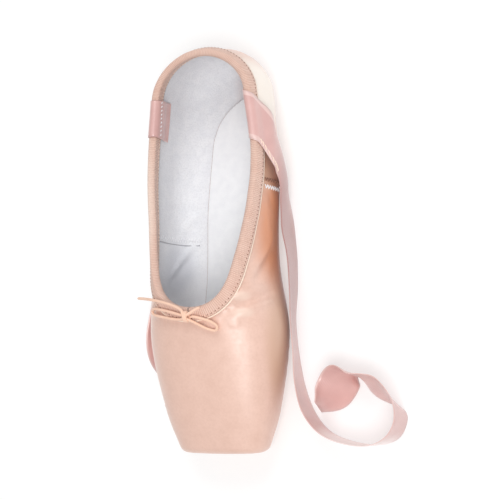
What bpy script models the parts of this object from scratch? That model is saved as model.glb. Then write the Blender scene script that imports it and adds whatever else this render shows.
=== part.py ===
"""A pointe shoe that stands empty on its sole, with its drawstring bow and its two ribbons.

The toe points to -Y, the heel to +Y and +X is the shoe's right. The floor is z = 0.
Sizes and tables are in millimetres, and every mesh is written in metres.
"at" is a distance along the shoe, measured from the plane of its toe platform.
"""

import math
from collections import namedtuple

import bmesh
import bpy
from mathutils import Vector

MM = 0.001

# The last: its length, and the sizes that the stations below do not hold
LENGTH = 234.5
HEEL_RADIUS = 31.0
HEEL_CENTRE = LENGTH - HEEL_RADIUS
UNDER_POWER = 2.2
PLATFORM_LEAN = 0.09
PLATFORM_LEAN_ENDS = 45.0
PLATFORM_LEAN_HEIGHT = 15.0
PLATFORM_EDGE = 3.2
PLATFORM_TOP = 30.5

# One row for each cross-section of the last, from the toe platform to the heel
Section = namedtuple("Section", "at half_width wide_height flat_half crown power")
LAST = (
    Section(0.0, 26.2, 17.8, 12.0, PLATFORM_TOP, 2.6),
    Section(23.3, 34.3, 20.0, 19.0, 40.3, 2.5),
    Section(66.6, 40.9, 24.0, 25.5, 54.4, 2.3),
    Section(108.0, 35.2, 23.0, 21.0, 64.0, 2.2),
    Section(150.0, 36.2, 22.0, 17.5, 75.4, 2.1),
    Section(HEEL_CENTRE, 32.1, 21.5, 16.5, 92.0, 2.0),
)

# The underside: toe spring, flat tread, arch and flat heel
Under = namedtuple("Under", "at lift")
UNDERSIDE = (
    Under(0.0, 1.9),
    Under(23.3, 1.0),
    Under(50.0, 0.0),
    Under(84.0, 0.0),
    Under(138.0, 4.8),
    Under(188.0, 0.0),
    Under(LENGTH, 0.0),
)

# The collar: the throat is its front end, and each side's edge runs back at these heights
THROAT = 78.1
THROAT_RUN = 57.2
Edge = namedtuple("Edge", "at left right")
COLLAR = (
    Edge(THROAT, 46.2, 46.2),
    Edge(120.0, 45.6, 46.8),
    Edge(140.0, 45.6, 44.8),
    Edge(156.0, 45.6, 42.6),
    Edge(175.0, 45.8, 41.4),
    Edge(205.0, 46.1, 43.6),
    Edge(LENGTH, 46.5, 46.5),
)

# The soft quarters lean to the left at their top, and the drawstring draws the heel's top forward
SLUMP = 1.2
SLUMP_FOOT = 20.0
SLUMP_TOP = 45.0
SLUMP_FROM = 66.0
SLUMP_FULL = 110.0
HEEL_DRAW = 4.4
HEEL_DRAW_FOOT = 26.0
HEEL_DRAW_FROM = 175.0

# The upper's wall: stiffened cloth in the box, satin and drill in the quarters
WALL_BOX = 2.6
WALL_QUARTER = 1.6
WALL_BOX_ENDS = 62.0
WALL_QUARTER_STARTS = 100.0

# The opening underneath, which the outsole and the insole close
OPEN_FRONT = 44.0
OPEN_FRONT_ROUND = 16.0
OPEN_BACK = 195.0
OPEN_BACK_ROUND = 12.0
Opening = namedtuple("Opening", "at half_width")
SOLE_OPENING = (
    Opening(44.0, 15.0),
    Opening(70.0, 15.0),
    Opening(140.0, 8.0),
    Opening(195.0, 8.0),
)

# The outsole
OUTSOLE_THICK = 3.0
OUTSOLE_BEVEL = 0.5
OUTSOLE_FRONT = 27.0
OUTSOLE_BACK = 224.0
OUTSOLE_FRONT_ROUND = 24.0
OUTSOLE_BACK_ROUND = 19.0
OUTSOLE_STEPS = 26
Outline = namedtuple("Outline", "at half_width")
OUTSOLE = (
    Outline(27.0, 21.0),
    Outline(66.0, 25.0),
    Outline(100.0, 20.5),
    Outline(142.0, 14.5),
    Outline(180.0, 17.5),
    Outline(205.0, 19.0),
    Outline(224.0, 18.5),
)

# The insole: its left and right edges seen from above, with a heel end cut on the skew
INSOLE_THICK = 2.4
INSOLE_GAP = 0.5
INSOLE_BEVEL = 0.4
INSOLE_STEPS = 30
Insole = namedtuple("Insole", "at left right")
INSOLE = (
    Insole(34.0, -7.0, 7.0),
    Insole(40.0, -14.0, 14.0),
    Insole(52.0, -18.5, 18.5),
    Insole(68.0, -20.0, 20.0),
    Insole(84.0, -19.0, 19.5),
    Insole(105.0, -16.5, 17.5),
    Insole(128.0, -14.8, 16.2),
    Insole(150.0, -14.0, 16.0),
    Insole(170.0, -13.6, 17.0),
    Insole(182.0, -13.0, 18.0),
    Insole(191.0, -10.2, 18.9),
    Insole(198.0, -5.6, 19.0),
    Insole(203.0, 0.0, 18.4),
    Insole(207.0, 6.5, 16.8),
)

# The binding that folds over the collar and holds the drawstring
BINDING_DROP = 5.8
BINDING_THICK = 1.0
BINDING_ROLL = 1.5

# The drawstring bow on the throat: each cord's route over the vamp, and its height above it
CORD = 1.8
CORD_STEP = 4.0
KNOT_HALF = (3.4, 2.9, 2.3)
Knot = namedtuple("Knot", "x y lift")
KNOT = Knot(-1.5, -42.0, 2.6)
Lay = namedtuple("Lay", "x y lift")
BOW = {
    "drawstring_loop_left": (
        Lay(-5.4, -41.0, 2.4),
        Lay(-12.0, -39.3, 2.1),
        Lay(-20.0, -37.5, 1.9),
        Lay(-25.0, -36.8, 1.9),
        Lay(-27.3, -38.2, 1.9),
        Lay(-25.0, -40.2, 1.7),
        Lay(-18.0, -41.8, 1.6),
        Lay(-11.0, -43.2, 1.7),
        Lay(-5.2, -43.9, 1.9),
    ),
    "drawstring_end_left": (
        Lay(-3.5, -38.7, 2.6),
        Lay(-9.0, -36.0, 2.6),
        Lay(-17.0, -33.6, 3.2),
        Lay(-25.0, -31.9, 4.7),
        Lay(-33.0, -30.6, 8.2),
        Lay(-39.0, -29.9, 25.4),
    ),
    "drawstring_loop_right": (
        Lay(2.3, -42.4, 2.4),
        Lay(7.6, -43.6, 2.0),
        Lay(12.6, -45.4, 1.5),
        Lay(15.6, -48.0, 0.9),
        Lay(14.4, -50.2, 0.6),
        Lay(10.6, -49.4, 0.8),
        Lay(6.4, -47.4, 1.4),
        Lay(2.2, -45.1, 1.8),
    ),
    "drawstring_end_right": (
        Lay(2.1, -40.4, 3.0),
        Lay(5.0, -38.8, 2.9),
        Lay(8.2, -37.6, 2.8),
    ),
}

# The satin ribbons: sewn inside the collar, over its edge and down to the floor
RIBBON_WIDTH = 24.0
RIBBON_THICK = 0.6
RIBBON_STEP = 5.5
RIBBON_COLUMNS = (-0.5, -0.17, 0.17, 0.5)
RIBBON_CUT = 2.0
RIBBON_GAP = 0.6
RIBBON_CLEAR = 0.4
SEWN_DEPTH = 17.0
RIGHT_SEWN_AT = 188.5
LEFT_SEWN_AT = 193.0
# The right ribbon crosses the collar's edge on a slant, and its rows come square as it falls
RIBBON_SLANT = math.radians(36.0)
FALL_SLANT = 0.9
FALL_SQUARE = 26.0
Fold = namedtuple("Fold", "x y z across_x across_y across_z")
RIGHT_RIBBON = (
    Fold(38.8, 59.8, 33.0, 0.02, -0.90, 0.33),
    Fold(39.9, 49.3, 22.9, 0.20, -0.85, 0.49),
    Fold(39.1, 36.9, 14.7, 0.24, -0.59, 0.76),
    Fold(37.7, 23.0, 11.9, 0.19, -0.15, 0.97),
    Fold(38.5, 7.8, 11.8, 0.12, 0.0, 0.99),
    Fold(40.4, -6.2, 11.8, 0.19, 0.0, 0.98),
    Fold(41.1, -24.6, 11.8, 0.24, 0.0, 0.97),
    Fold(40.6, -42.8, 11.8, 0.30, 0.0, 0.95),
    Fold(42.1, -60.9, 11.8, 0.28, 0.0, 0.96),
    Fold(44.5, -78.9, 11.9, 0.19, 0.0, 0.98),
    Fold(49.7, -94.4, 12.0, 0.12, 0.0, 0.99),
    Fold(59.1, -105.4, 12.2, 0.10, 0.0, 0.99),
    Fold(72.5, -110.8, 12.3, 0.06, 0.0, 1.0),
    Fold(88.0, -112.4, 12.3, 0.0, 0.0, 1.0),
    Fold(99.0, -108.0, 12.3, 0.0, 0.0, 1.0),
    Fold(104.0, -98.5, 12.2, 0.05, 0.0, 1.0),
    Fold(102.5, -91.0, 11.6, 0.05, 0.25, 0.97),
    Fold(95.5, -85.0, 10.8, 0.0, 0.50, 0.86),
    Fold(87.5, -80.0, 10.2, -0.12, 0.62, 0.78),
    Fold(79.5, -75.0, 10.6, -0.45, 0.40, 0.80),
    Fold(73.5, -72.5, 11.0, -0.72, 0.12, 0.69),
    Fold(69.3, -76.0, 10.8, -0.82, 0.0, 0.57),
    Fold(66.0, -81.5, 10.2, -0.82, -0.02, 0.57),
    Fold(61.8, -87.3, 10.4, -0.68, -0.05, 0.73),
    Fold(58.0, -90.9, 11.4, -0.32, -0.06, 0.94),
    Fold(55.2, -93.0, 12.3, 0.04, 0.0, 1.0),
)
LEFT_RIBBON = (
    Fold(-37.2, 75.0, 33.0, -0.02, -0.98, 0.18),
    Fold(-39.4, 69.5, 24.5, -0.10, -0.93, 0.36),
    Fold(-41.0, 60.0, 17.5, -0.20, -0.75, 0.63),
    Fold(-41.6, 45.0, 13.2, -0.24, -0.42, 0.87),
    Fold(-40.8, 27.0, 11.9, -0.19, -0.12, 0.97),
    Fold(-40.6, 9.0, 11.8, -0.16, 0.0, 0.99),
    Fold(-41.4, -12.0, 11.8, -0.24, 0.0, 0.97),
    Fold(-43.0, -30.0, 11.6, -0.30, 0.0, 0.95),
    Fold(-45.8, -46.0, 11.2, -0.40, 0.0, 0.92),
    Fold(-45.6, -56.0, 9.6, -0.60, 0.0, 0.80),
    Fold(-42.6, -66.0, 4.6, -0.92, 0.0, 0.38),
    Fold(-41.0, -77.0, 0.8, -1.0, 0.05, 0.0),
    Fold(-38.5, -92.0, 0.8, -0.99, 0.15, 0.0),
)

# Touching pieces keep this gap
GAP = 0.3
FOLD_GAP = 0.5

# Grid steps
EDGE_STEPS = 3
BOX_STEPS = 9
THROAT_STEPS = 10
QUARTER_STEPS = 6
HEEL_STEPS = 9
FLAT_STEPS = 2
LOWER_STEPS = 6
UPPER_STEPS = 9

# The shoe's middle, so that the origin is under the centre of its box
MIDDLE = (LENGTH - PLATFORM_LEAN * (PLATFORM_TOP - PLATFORM_LEAN_HEIGHT)) / 2

Paint = namedtuple("Paint", "colour roughness")
SATIN = Paint((0.87, 0.64, 0.53), 0.38)
TAPE = Paint((0.85, 0.58, 0.48), 0.7)
LEATHER = Paint((0.72, 0.58, 0.48), 0.75)
DRILL = Paint((0.83, 0.82, 0.81), 0.9)
RIBBON = Paint((0.74, 0.55, 0.53), 0.35)


def through(table, column, at):
    """The value at a station of a smooth curve through one column, with no overshoot."""
    places = [row.at for row in table]
    values = [getattr(row, column) for row in table]
    at = min(max(at, places[0]), places[-1])
    steps = [after - before for before, after in zip(places, places[1:])]
    rises = [(b - a) / step for a, b, step in zip(values, values[1:], steps)]

    def slope(k):
        if k == 0:
            return rises[0]
        if k == len(rises):
            return rises[-1]
        if rises[k - 1] * rises[k] <= 0:
            return 0.0
        near, far = steps[k - 1], steps[k]
        weighted = (2 * far + near) / rises[k - 1] + (far + 2 * near) / rises[k]
        return 3 * (near + far) / weighted

    k = max(i for i in range(len(steps)) if places[i] <= at)
    s = (at - places[k]) / steps[k]
    return (
        values[k] * (1 + 2 * s) * (1 - s) ** 2
        + slope(k) * steps[k] * s * (1 - s) ** 2
        + values[k + 1] * s * s * (3 - 2 * s)
        + slope(k + 1) * steps[k] * s * s * (s - 1)
    )


def ease(low, high, value):
    """A smooth step from 0 at low to 1 at high."""
    s = min(max((value - low) / (high - low), 0.0), 1.0)
    return s * s * (3 - 2 * s)


def wall(at):
    """The thickness of the upper's wall at a station."""
    return WALL_BOX + (WALL_QUARTER - WALL_BOX) * ease(WALL_BOX_ENDS, WALL_QUARTER_STARTS, at)


def floor_of_upper(at):
    """The height of the upper's outer face where it lies on the outsole."""
    return OUTSOLE_THICK + GAP + through(UNDERSIDE, "lift", at)


def section(at, turn):
    """Half-width and height on the last's section: turn is -1 underneath, 0 at the side, 1 on top."""
    wide = through(LAST, "half_width", at)
    level = through(LAST, "wide_height", at)
    if turn < 0:
        flat = through(LAST, "flat_half", at)
        under = floor_of_upper(at)
        angle = (1 + turn) * math.pi / 2
        x = flat + (wide - flat) * math.sin(angle) ** (2 / UNDER_POWER)
        z = level - (level - under) * math.cos(angle) ** (2 / UNDER_POWER)
        return x, z
    power = through(LAST, "power", at)
    crown = through(LAST, "crown", at)
    angle = min(turn, 1) * math.pi / 2
    x = wide * max(math.cos(angle), 0.0) ** (2 / power)
    z = level + (crown - level) * math.sin(angle) ** (2 / power)
    return x, z


def place(at, x, z, swing=0.0):
    """The point of the right half at a station, or at a swing about the heel's centre."""
    if swing:
        reach = x * HEEL_RADIUS / LAST[-1].half_width
        return Vector((x * math.cos(swing), HEEL_CENTRE + reach * math.sin(swing) - MIDDLE, z))
    fade = max(0.0, 1 - at / PLATFORM_LEAN_ENDS)
    y = at - PLATFORM_LEAN * (z - PLATFORM_LEAN_HEIGHT) * fade
    return Vector((x, y - MIDDLE, z))


def skin(at, turn, swing=0.0):
    """A point of the upper's outer face on its right half."""
    x, z = section(at, turn)
    return place(at, x, z, swing)


def skin_under(point):
    """The point of the upper's outer face, above its widest line, that lies under a point."""
    at = point.y + MIDDLE
    side = -1 if point.x < 0 else 1
    x = abs(point.x)
    swing = 0.0
    if at > HEEL_CENTRE:
        back = (at - HEEL_CENTRE) * LAST[-1].half_width / HEEL_RADIUS
        swing = math.atan2(back, x)
        x = math.hypot(x, back)
        at = HEEL_CENTRE
    half_power = through(LAST, "power", at) / 2
    wide = through(LAST, "half_width", at)
    level = through(LAST, "wide_height", at)
    crown = through(LAST, "crown", at)
    across = (x / wide) ** half_power
    up = (max(point.z - level, 0.0) / (crown - level)) ** half_power
    found = skin(at, math.atan2(up, across) / (math.pi / 2), swing)
    found.x *= side
    return found


def outward(point):
    """The direction straight out of the upper's outer face at a point on it."""
    reach = 0.5
    middle = skin_under(point)
    out = Vector((point.x, 0, point.z - LAST[-1].wide_height))
    if point.y + MIDDLE > HEEL_CENTRE:
        out.y = point.y + MIDDLE - HEEL_CENTRE
    along = skin_under(point + Vector((0, reach, 0))) - middle
    turned = Vector((out.z, 0, -out.x)).normalized() * reach
    across = skin_under(point + turned) - middle
    if abs(out.y) > abs(out.x):
        along = skin_under(point + Vector((reach, 0, 0))) - middle
        across = skin_under(point + Vector((0, 0, reach))) - middle
    normal = along.cross(across).normalized()
    if normal.dot(out) < 0:
        normal.negate()
    return normal


def collar_turn(side, at, swing=0.0):
    """How far round the section one side of the collar's edge lies, behind the throat."""
    column = "left" if side < 0 else "right"
    height = through(COLLAR, column, at + HEEL_RADIUS * math.sin(swing))
    level = through(LAST, "wide_height", at)
    crown = through(LAST, "crown", at)
    power = through(LAST, "power", at)
    lowest = math.asin(((height - level) / (crown - level)) ** (power / 2))
    run = min((at - THROAT) / THROAT_RUN, 1.0)
    opened = math.sqrt(max(1 - (1 - run) ** 2, 0.0))
    return 1 - (1 - lowest / (math.pi / 2)) * opened


def slump(point):
    """How far a point of the quarters has leaned to the left and been drawn forward."""
    at = point.y + MIDDLE
    rise = max((point.z - SLUMP_FOOT) / (SLUMP_TOP - SLUMP_FOOT), 0.0)
    left = SLUMP * rise * ease(SLUMP_FROM, SLUMP_FULL, at)
    rise = max((point.z - HEEL_DRAW_FOOT) / (SLUMP_TOP - HEEL_DRAW_FOOT), 0.0)
    forward = HEEL_DRAW * rise * ease(HEEL_DRAW_FROM, LENGTH, at)
    return Vector((-left, -forward, 0.0))


def link(name, data, paint):
    """Puts new data in the shoe's collection, with a material of its own."""
    made = bpy.data.objects.new(name, data)
    shoe.objects.link(made)
    material = bpy.data.materials.new(name)
    material.use_nodes = True
    shader = material.node_tree.nodes["Principled BSDF"]
    shader.inputs["Base Color"].default_value = (*paint.colour, 1)
    shader.inputs["Roughness"].default_value = paint.roughness
    shader.inputs["Metallic"].default_value = 0.0
    data.materials.append(material)
    return made


def mesh_from(name, points, faces, paint):
    """A smooth-shaded mesh object from points in millimetres."""
    mesh = bpy.data.meshes.new(name)
    mesh.from_pydata([point * MM for point in points], [], faces)
    shaper = bmesh.new()
    shaper.from_mesh(mesh)
    bmesh.ops.recalc_face_normals(shaper, faces=shaper.faces)
    shaper.to_mesh(mesh)
    shaper.free()
    mesh.shade_smooth()
    mesh.set_sharp_from_angle(angle=math.radians(50))
    return link(name, mesh, paint)


def loft(name, rings, paint, round_trip=False):
    """A closed solid through rings of points: capped at both ends, or joined back on itself."""
    count = len(rings[0])
    points = [point for ring in rings for point in ring]
    last = len(rings) if round_trip else len(rings) - 1
    faces = []
    for i in range(last):
        here, there = i * count, (i + 1) % len(rings) * count
        for j in range(count):
            k = (j + 1) % count
            faces.append((here + j, here + k, there + k, there + j))
    if not round_trip:
        faces.append(tuple(reversed(range(count))))
        faces.append(tuple(range(len(points) - count, len(points))))
    return mesh_from(name, points, faces, paint)


def applied(made):
    """The object with its modifiers applied to its mesh."""
    graph = bpy.context.evaluated_depsgraph_get()
    made.data = bpy.data.meshes.new_from_object(made.evaluated_get(graph))
    made.modifiers.clear()
    return made


def lean_over(made):
    """Lets a piece of the quarters lean with them."""
    for corner in made.data.vertices:
        corner.co += slump(corner.co / MM) * MM


def upper_rows():
    """Each row of the upper's grid, as its station, its swing about the heel and its inset."""
    rows = []
    for k in range(EDGE_STEPS + 1):
        angle = math.pi / 2 * k / EDGE_STEPS
        inset = PLATFORM_EDGE * (1 - math.sin(angle))
        rows.append((PLATFORM_EDGE * (1 - math.cos(angle)), 0.0, inset))
    for k in range(1, BOX_STEPS + 1):
        rows.append((PLATFORM_EDGE + (THROAT - PLATFORM_EDGE) * k / BOX_STEPS, 0.0, 0.0))
    rows += [(at, swing, 0.0) for at, swing in collar_rows()[1:]]
    return rows


def collar_rows():
    """Station and swing of the rows from the throat back to the middle of the heel."""
    rows = []
    for k in range(THROAT_STEPS + 1):
        run = 1 - math.cos(math.pi / 2 * k / THROAT_STEPS)
        rows.append((THROAT + THROAT_RUN * run, 0.0))
    waist = THROAT + THROAT_RUN
    for k in range(1, QUARTER_STEPS + 1):
        rows.append((waist + (HEEL_CENTRE - waist) * k / QUARTER_STEPS, 0.0))
    for k in range(1, HEEL_STEPS + 1):
        rows.append((HEEL_CENTRE, math.pi / 2 * k / HEEL_STEPS))
    return rows


def sole_opening(at):
    """Half the width of the opening under the upper."""
    ends = rounded_end(at, OPEN_FRONT, OPEN_FRONT_ROUND, OPEN_BACK, OPEN_BACK_ROUND)
    return through(SOLE_OPENING, "half_width", at) * ends


def upper_row(side, at, swing, inset):
    """One row of a half of the upper, from the sole's opening to the collar or the crown."""
    top = 1.0
    if at > THROAT:
        top = collar_turn(side, at, swing)
    flat = through(LAST, "flat_half", at)
    under = floor_of_upper(at)
    start = sole_opening(at)
    spots = [(start + (flat - start) * k / FLAT_STEPS, under) for k in range(FLAT_STEPS)]
    spots += [section(at, k / LOWER_STEPS - 1) for k in range(LOWER_STEPS)]
    spots += [section(at, top * k / UPPER_STEPS) for k in range(UPPER_STEPS + 1)]
    crown = through(LAST, "crown", at)
    wide = through(LAST, "half_width", at)
    middle, half_height = (crown + under) / 2, (crown - under) / 2
    row = []
    for x, z in spots:
        x *= 1 - inset / wide
        z = middle + (z - middle) * (1 - inset / half_height)
        point = place(at, x, z, swing)
        point.x *= side
        row.append(point)
    return row


def make_upper():
    """The upper: one hollow wall, open at the collar and under the foot."""
    points = []
    faces = []
    for side in (-1, 1):
        grid = [upper_row(side, *row) for row in upper_rows()]
        count = len(grid[0])
        for i in range(len(grid) - 1):
            for j in range(count - 1):
                a = len(points) + i * count + j
                faces.append((a, a + 1, a + count + 1, a + count))
        points += [point for row in grid for point in row]
    upper = mesh_from("upper", points, faces, SATIN)

    shaper = bmesh.new()
    shaper.from_mesh(upper.data)
    bmesh.ops.remove_doubles(shaper, verts=shaper.verts, dist=0.00002)
    front = [
        edge
        for edge in shaper.edges
        if edge.is_boundary and all(is_on_platform(v.co / MM) for v in edge.verts)
    ]
    bmesh.ops.contextual_create(shaper, geom=front)
    bmesh.ops.recalc_face_normals(shaper, faces=shaper.faces)
    shaper.to_mesh(upper.data)
    shaper.free()

    thick = upper.vertex_groups.new(name="thick")
    for corner in upper.data.vertices:
        share = (wall(corner.co.y / MM + MIDDLE) - WALL_QUARTER) / (WALL_BOX - WALL_QUARTER)
        thick.add([corner.index], share, "REPLACE")
    shell = upper.modifiers.new("wall", "SOLIDIFY")
    shell.thickness = WALL_BOX * MM
    shell.offset = -1
    shell.vertex_group = thick.name
    shell.thickness_vertex_group = WALL_QUARTER / WALL_BOX
    applied(upper)
    lean_over(upper)
    upper.data.shade_smooth()
    upper.data.set_sharp_from_angle(angle=math.radians(50))


def is_on_platform(point):
    """Whether a point lies in the plane of the toe platform."""
    plane = -PLATFORM_LEAN * (point.z - PLATFORM_LEAN_HEIGHT) - MIDDLE
    return abs(point.y - plane) < 0.01


def rounded_end(at, front, front_round, back, back_round):
    """How much of its width an outline has at a station near one of its round ends."""
    run = min((at - front) / front_round, (back - at) / back_round, 1.0)
    return math.sqrt(max(1 - (1 - max(run, 0.0)) ** 2, 0.0))


def plate(name, rows, under, thick, bevel, paint):
    """A plate through rows of (at, left, right), whose lower face follows under(at)."""
    rings = []
    for at, left, right in rows:
        low, high = under(at), under(at) + thick
        y = at - MIDDLE
        rings.append(
            [
                Vector((left + bevel, y, low)),
                Vector((0.5 * (left + right), y, low)),
                Vector((right - bevel, y, low)),
                Vector((right, y, low + bevel)),
                Vector((right, y, high)),
                Vector((0.5 * (left + right), y, high)),
                Vector((left, y, high)),
                Vector((left, y, low + bevel)),
            ]
        )
    return loft(name, rings, paint)


def make_outsole():
    """The leather outsole, flat under the tread and the heel and arched between them."""
    rows = []
    for k in range(OUTSOLE_STEPS + 1):
        share = (1 - math.cos(math.pi * k / OUTSOLE_STEPS)) / 2
        even = k / OUTSOLE_STEPS
        at = OUTSOLE_FRONT + (OUTSOLE_BACK - OUTSOLE_FRONT) * (share + even) / 2
        at = min(max(at, OUTSOLE_FRONT + 0.4), OUTSOLE_BACK - 0.4)
        half = through(OUTSOLE, "half_width", at) * rounded_end(
            at, OUTSOLE_FRONT, OUTSOLE_FRONT_ROUND, OUTSOLE_BACK, OUTSOLE_BACK_ROUND
        )
        rows.append((at, -half, half))
    plate("outsole", rows, sole_level, OUTSOLE_THICK, OUTSOLE_BEVEL, LEATHER)


def sole_level(at):
    """The height of the outsole's lower face."""
    return through(UNDERSIDE, "lift", at)


def make_insole():
    """The insole board with its sock, on the upper's turned-in edge."""

    def level(at):
        return floor_of_upper(at) + wall(at) + INSOLE_GAP

    front, back = INSOLE[0].at, INSOLE[-1].at
    rows = []
    for k in range(INSOLE_STEPS + 1):
        at = front + (back - front) * k / INSOLE_STEPS
        rows.append((at, through(INSOLE, "left", at), through(INSOLE, "right", at)))
    plate("insole", rows, level, INSOLE_THICK, INSOLE_BEVEL, DRILL)


def collar_frames():
    """Round the collar: each edge point, the way down the wall from it and the way out."""
    right = [skin(at, collar_turn(1, at, swing), swing) for at, swing in collar_rows()]
    left = [skin(at, collar_turn(-1, at, swing), swing) for at, swing in collar_rows()]
    edge = right + [Vector((-point.x, point.y, point.z)) for point in left[-2:0:-1]]
    frames = []
    for i, point in enumerate(edge):
        along = (edge[(i + 1) % len(edge)] - edge[i - 1]).normalized()
        out = outward(point)
        down = along.cross(out).normalized()
        frames.append((point, down, out))
    return frames


def hang(frame, depth, offset):
    """A point at a depth below the collar's edge, and at an offset out of the upper's face."""
    point, down, out = frame
    if depth <= 0:
        return point + down * depth + out * offset
    found = skin_under(point + down * depth)
    return found + outward(found) * offset


def make_binding():
    """The binding: a tape folded over the collar's edge, inside and outside."""
    rings = []
    for frame in collar_frames():
        inner = -wall(frame[0].y + MIDDLE)
        near, far = FOLD_GAP, FOLD_GAP + BINDING_THICK
        outline = (
            (BINDING_DROP, far),
            (BINDING_DROP / 2, far + 0.1),
            (0.0, far),
            (-0.8 * BINDING_ROLL, 0.0),
            (-BINDING_ROLL, inner / 2),
            (-0.8 * BINDING_ROLL, inner),
            (0.0, inner - far),
            (BINDING_DROP / 2, inner - far - 0.1),
            (BINDING_DROP, inner - far),
            (BINDING_DROP, inner - near),
            (BINDING_DROP / 2, inner - near),
            (-near, inner - near),
            (-near, near),
            (BINDING_DROP / 2, near),
            (BINDING_DROP, near),
        )
        rings.append([hang(frame, depth, offset) for depth, offset in outline])
    binding = loft("collar_binding", rings, TAPE, round_trip=True)
    lean_over(binding)


def over_vamp(lay):
    """The point at a lift above the vamp's binding, over a place on the shoe's top."""
    at = lay.y + MIDDLE
    wide = through(LAST, "half_width", at)
    level = through(LAST, "wide_height", at)
    crown = through(LAST, "crown", at)
    power = through(LAST, "power", at)
    inside = max(1 - (abs(lay.x) / wide) ** power, 0.0)
    height = level + (crown - level) * inside ** (1 / power)
    return Vector((lay.x, lay.y, height + FOLD_GAP + BINDING_THICK + lay.lift))


def curved(before, start, end, after, share):
    """A point at a share of the way from start to end, on a smooth curve through four points."""
    return (
        start
        + (end - before) * (share * 0.5)
        + (before * 2 - start * 5 + end * 4 - after) * (share**2 * 0.5)
        + (start * 3 - before - end * 3 + after) * (share**3 * 0.5)
    )


def smooth_route(points, step):
    """Points about a step apart on a smooth curve through the given points."""
    route = [points[0] * 2 - points[1], *points, points[-1] * 2 - points[-2]]
    found = []
    for before, start, end, after in zip(route, route[1:], route[2:], route[3:]):
        count = max(1, round((end - start).length / step))
        found += [curved(before, start, end, after, k / count) for k in range(count)]
    found.append(points[-1])
    return found


def tube(name, points, paint):
    """A cord of the drawstring, as a round tube with closed ends."""
    curve = bpy.data.curves.new(name, "CURVE")
    curve.dimensions = "3D"
    line = curve.splines.new("POLY")
    line.points.add(len(points) - 1)
    for spot, point in zip(line.points, points):
        spot.co = (*(point * MM), 1)
    curve.bevel_depth = CORD / 2 * MM
    curve.bevel_resolution = 2
    curve.render_resolution_u = 0
    curve.use_fill_caps = True
    return link(name, curve, paint)


def make_bow():
    """The drawstring's knot, its two loops and its two ends."""
    for name, lays in BOW.items():
        tube(name, smooth_route([over_vamp(lay) for lay in lays], CORD_STEP), TAPE)
    ball = bmesh.new()
    bmesh.ops.create_uvsphere(ball, u_segments=12, v_segments=8, radius=1.0)
    centre = over_vamp(KNOT)
    for corner in ball.verts:
        corner.co = (centre + Vector(a * b for a, b in zip(corner.co, KNOT_HALF))) * MM
    mesh = bpy.data.meshes.new("drawstring_knot")
    ball.to_mesh(mesh)
    ball.free()
    mesh.shade_smooth()
    link("drawstring_knot", mesh, TAPE)


def sewn_end(side, middle, slant):
    """A ribbon's rows where it is sewn inside the collar and comes over the edge."""
    over_tape = FOLD_GAP + BINDING_THICK + RIBBON_GAP + RIBBON_THICK / 2
    inner = -WALL_QUARTER
    profile = (
        (SEWN_DEPTH, inner - RIBBON_GAP),
        (SEWN_DEPTH - 4, inner - RIBBON_GAP - 0.2),
        (BINDING_DROP + 1, inner - over_tape),
        (BINDING_DROP / 2, inner - over_tape - 0.2),
        (0.0, inner - over_tape),
        (-BINDING_ROLL, inner - RIBBON_GAP - 0.4),
        (-BINDING_ROLL - RIBBON_GAP - RIBBON_THICK, inner / 2),
        (-BINDING_ROLL, RIBBON_GAP + 0.4),
        (0.0, over_tape),
        (BINDING_DROP / 2, over_tape + 0.2),
        (BINDING_DROP + 1, over_tape),
    )
    top = -BINDING_ROLL - RIBBON_GAP - RIBBON_THICK
    rows = []
    for depth, offset in profile:
        run = math.copysign(depth - top, offset - inner / 2)
        row = []
        for share in RIBBON_COLUMNS:
            at = middle - share * RIBBON_WIDTH / math.cos(slant)
            at -= run * math.tan(slant)
            swing = max(at - HEEL_CENTRE, 0.0) / HEEL_RADIUS
            at = min(at, HEEL_CENTRE)
            edge = skin(at, collar_turn(side, at, swing), swing)
            out = outward(edge)
            down = (Vector((0, 0, -1)) + out * out.z).normalized()
            point = hang((edge, down, out), depth, offset)
            point.x *= side
            row.append(point + slump(point))
        rows.append(row)
    return rows


def laid(table):
    """A ribbon's rows along its way down and over the floor."""
    route = [Vector(row[:3]) for row in table]
    route = [route[0] * 2 - route[1], *route, route[-1] * 2 - route[-2]]
    rows = []
    for k in range(len(table) - 1):
        before, start, end, after = route[k : k + 4]
        count = max(1, round((end - start).length / RIBBON_STEP))
        for i in range(count):
            centre = curved(before, start, end, after, i / count)
            across = Vector(table[k][3:]).lerp(Vector(table[k + 1][3:]), i / count)
            rows.append((centre, across))
    rows.append((route[-2], Vector(table[-1][3:])))
    return rows


def spread(rows, slant):
    """Rows of points across the ribbon, from centres and ways across, square to it past a slant."""
    found = []
    length = 0.0
    for i, (centre, across) in enumerate(rows):
        ahead = rows[min(i + 1, len(rows) - 1)][0] - rows[max(i - 1, 0)][0]
        ahead.normalize()
        across = (across - ahead * across.dot(ahead)).normalized()
        length += (centre - rows[max(i - 1, 0)][0]).length
        across += ahead * (slant * max(1 - length / FALL_SQUARE, 0.0))
        row = [centre + across * (share * RIBBON_WIDTH) for share in RIBBON_COLUMNS]
        lift = max(RIBBON_CLEAR - min(point.z for point in row), 0.0)
        found.append([point + Vector((0, 0, lift)) for point in row])
    return found


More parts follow.
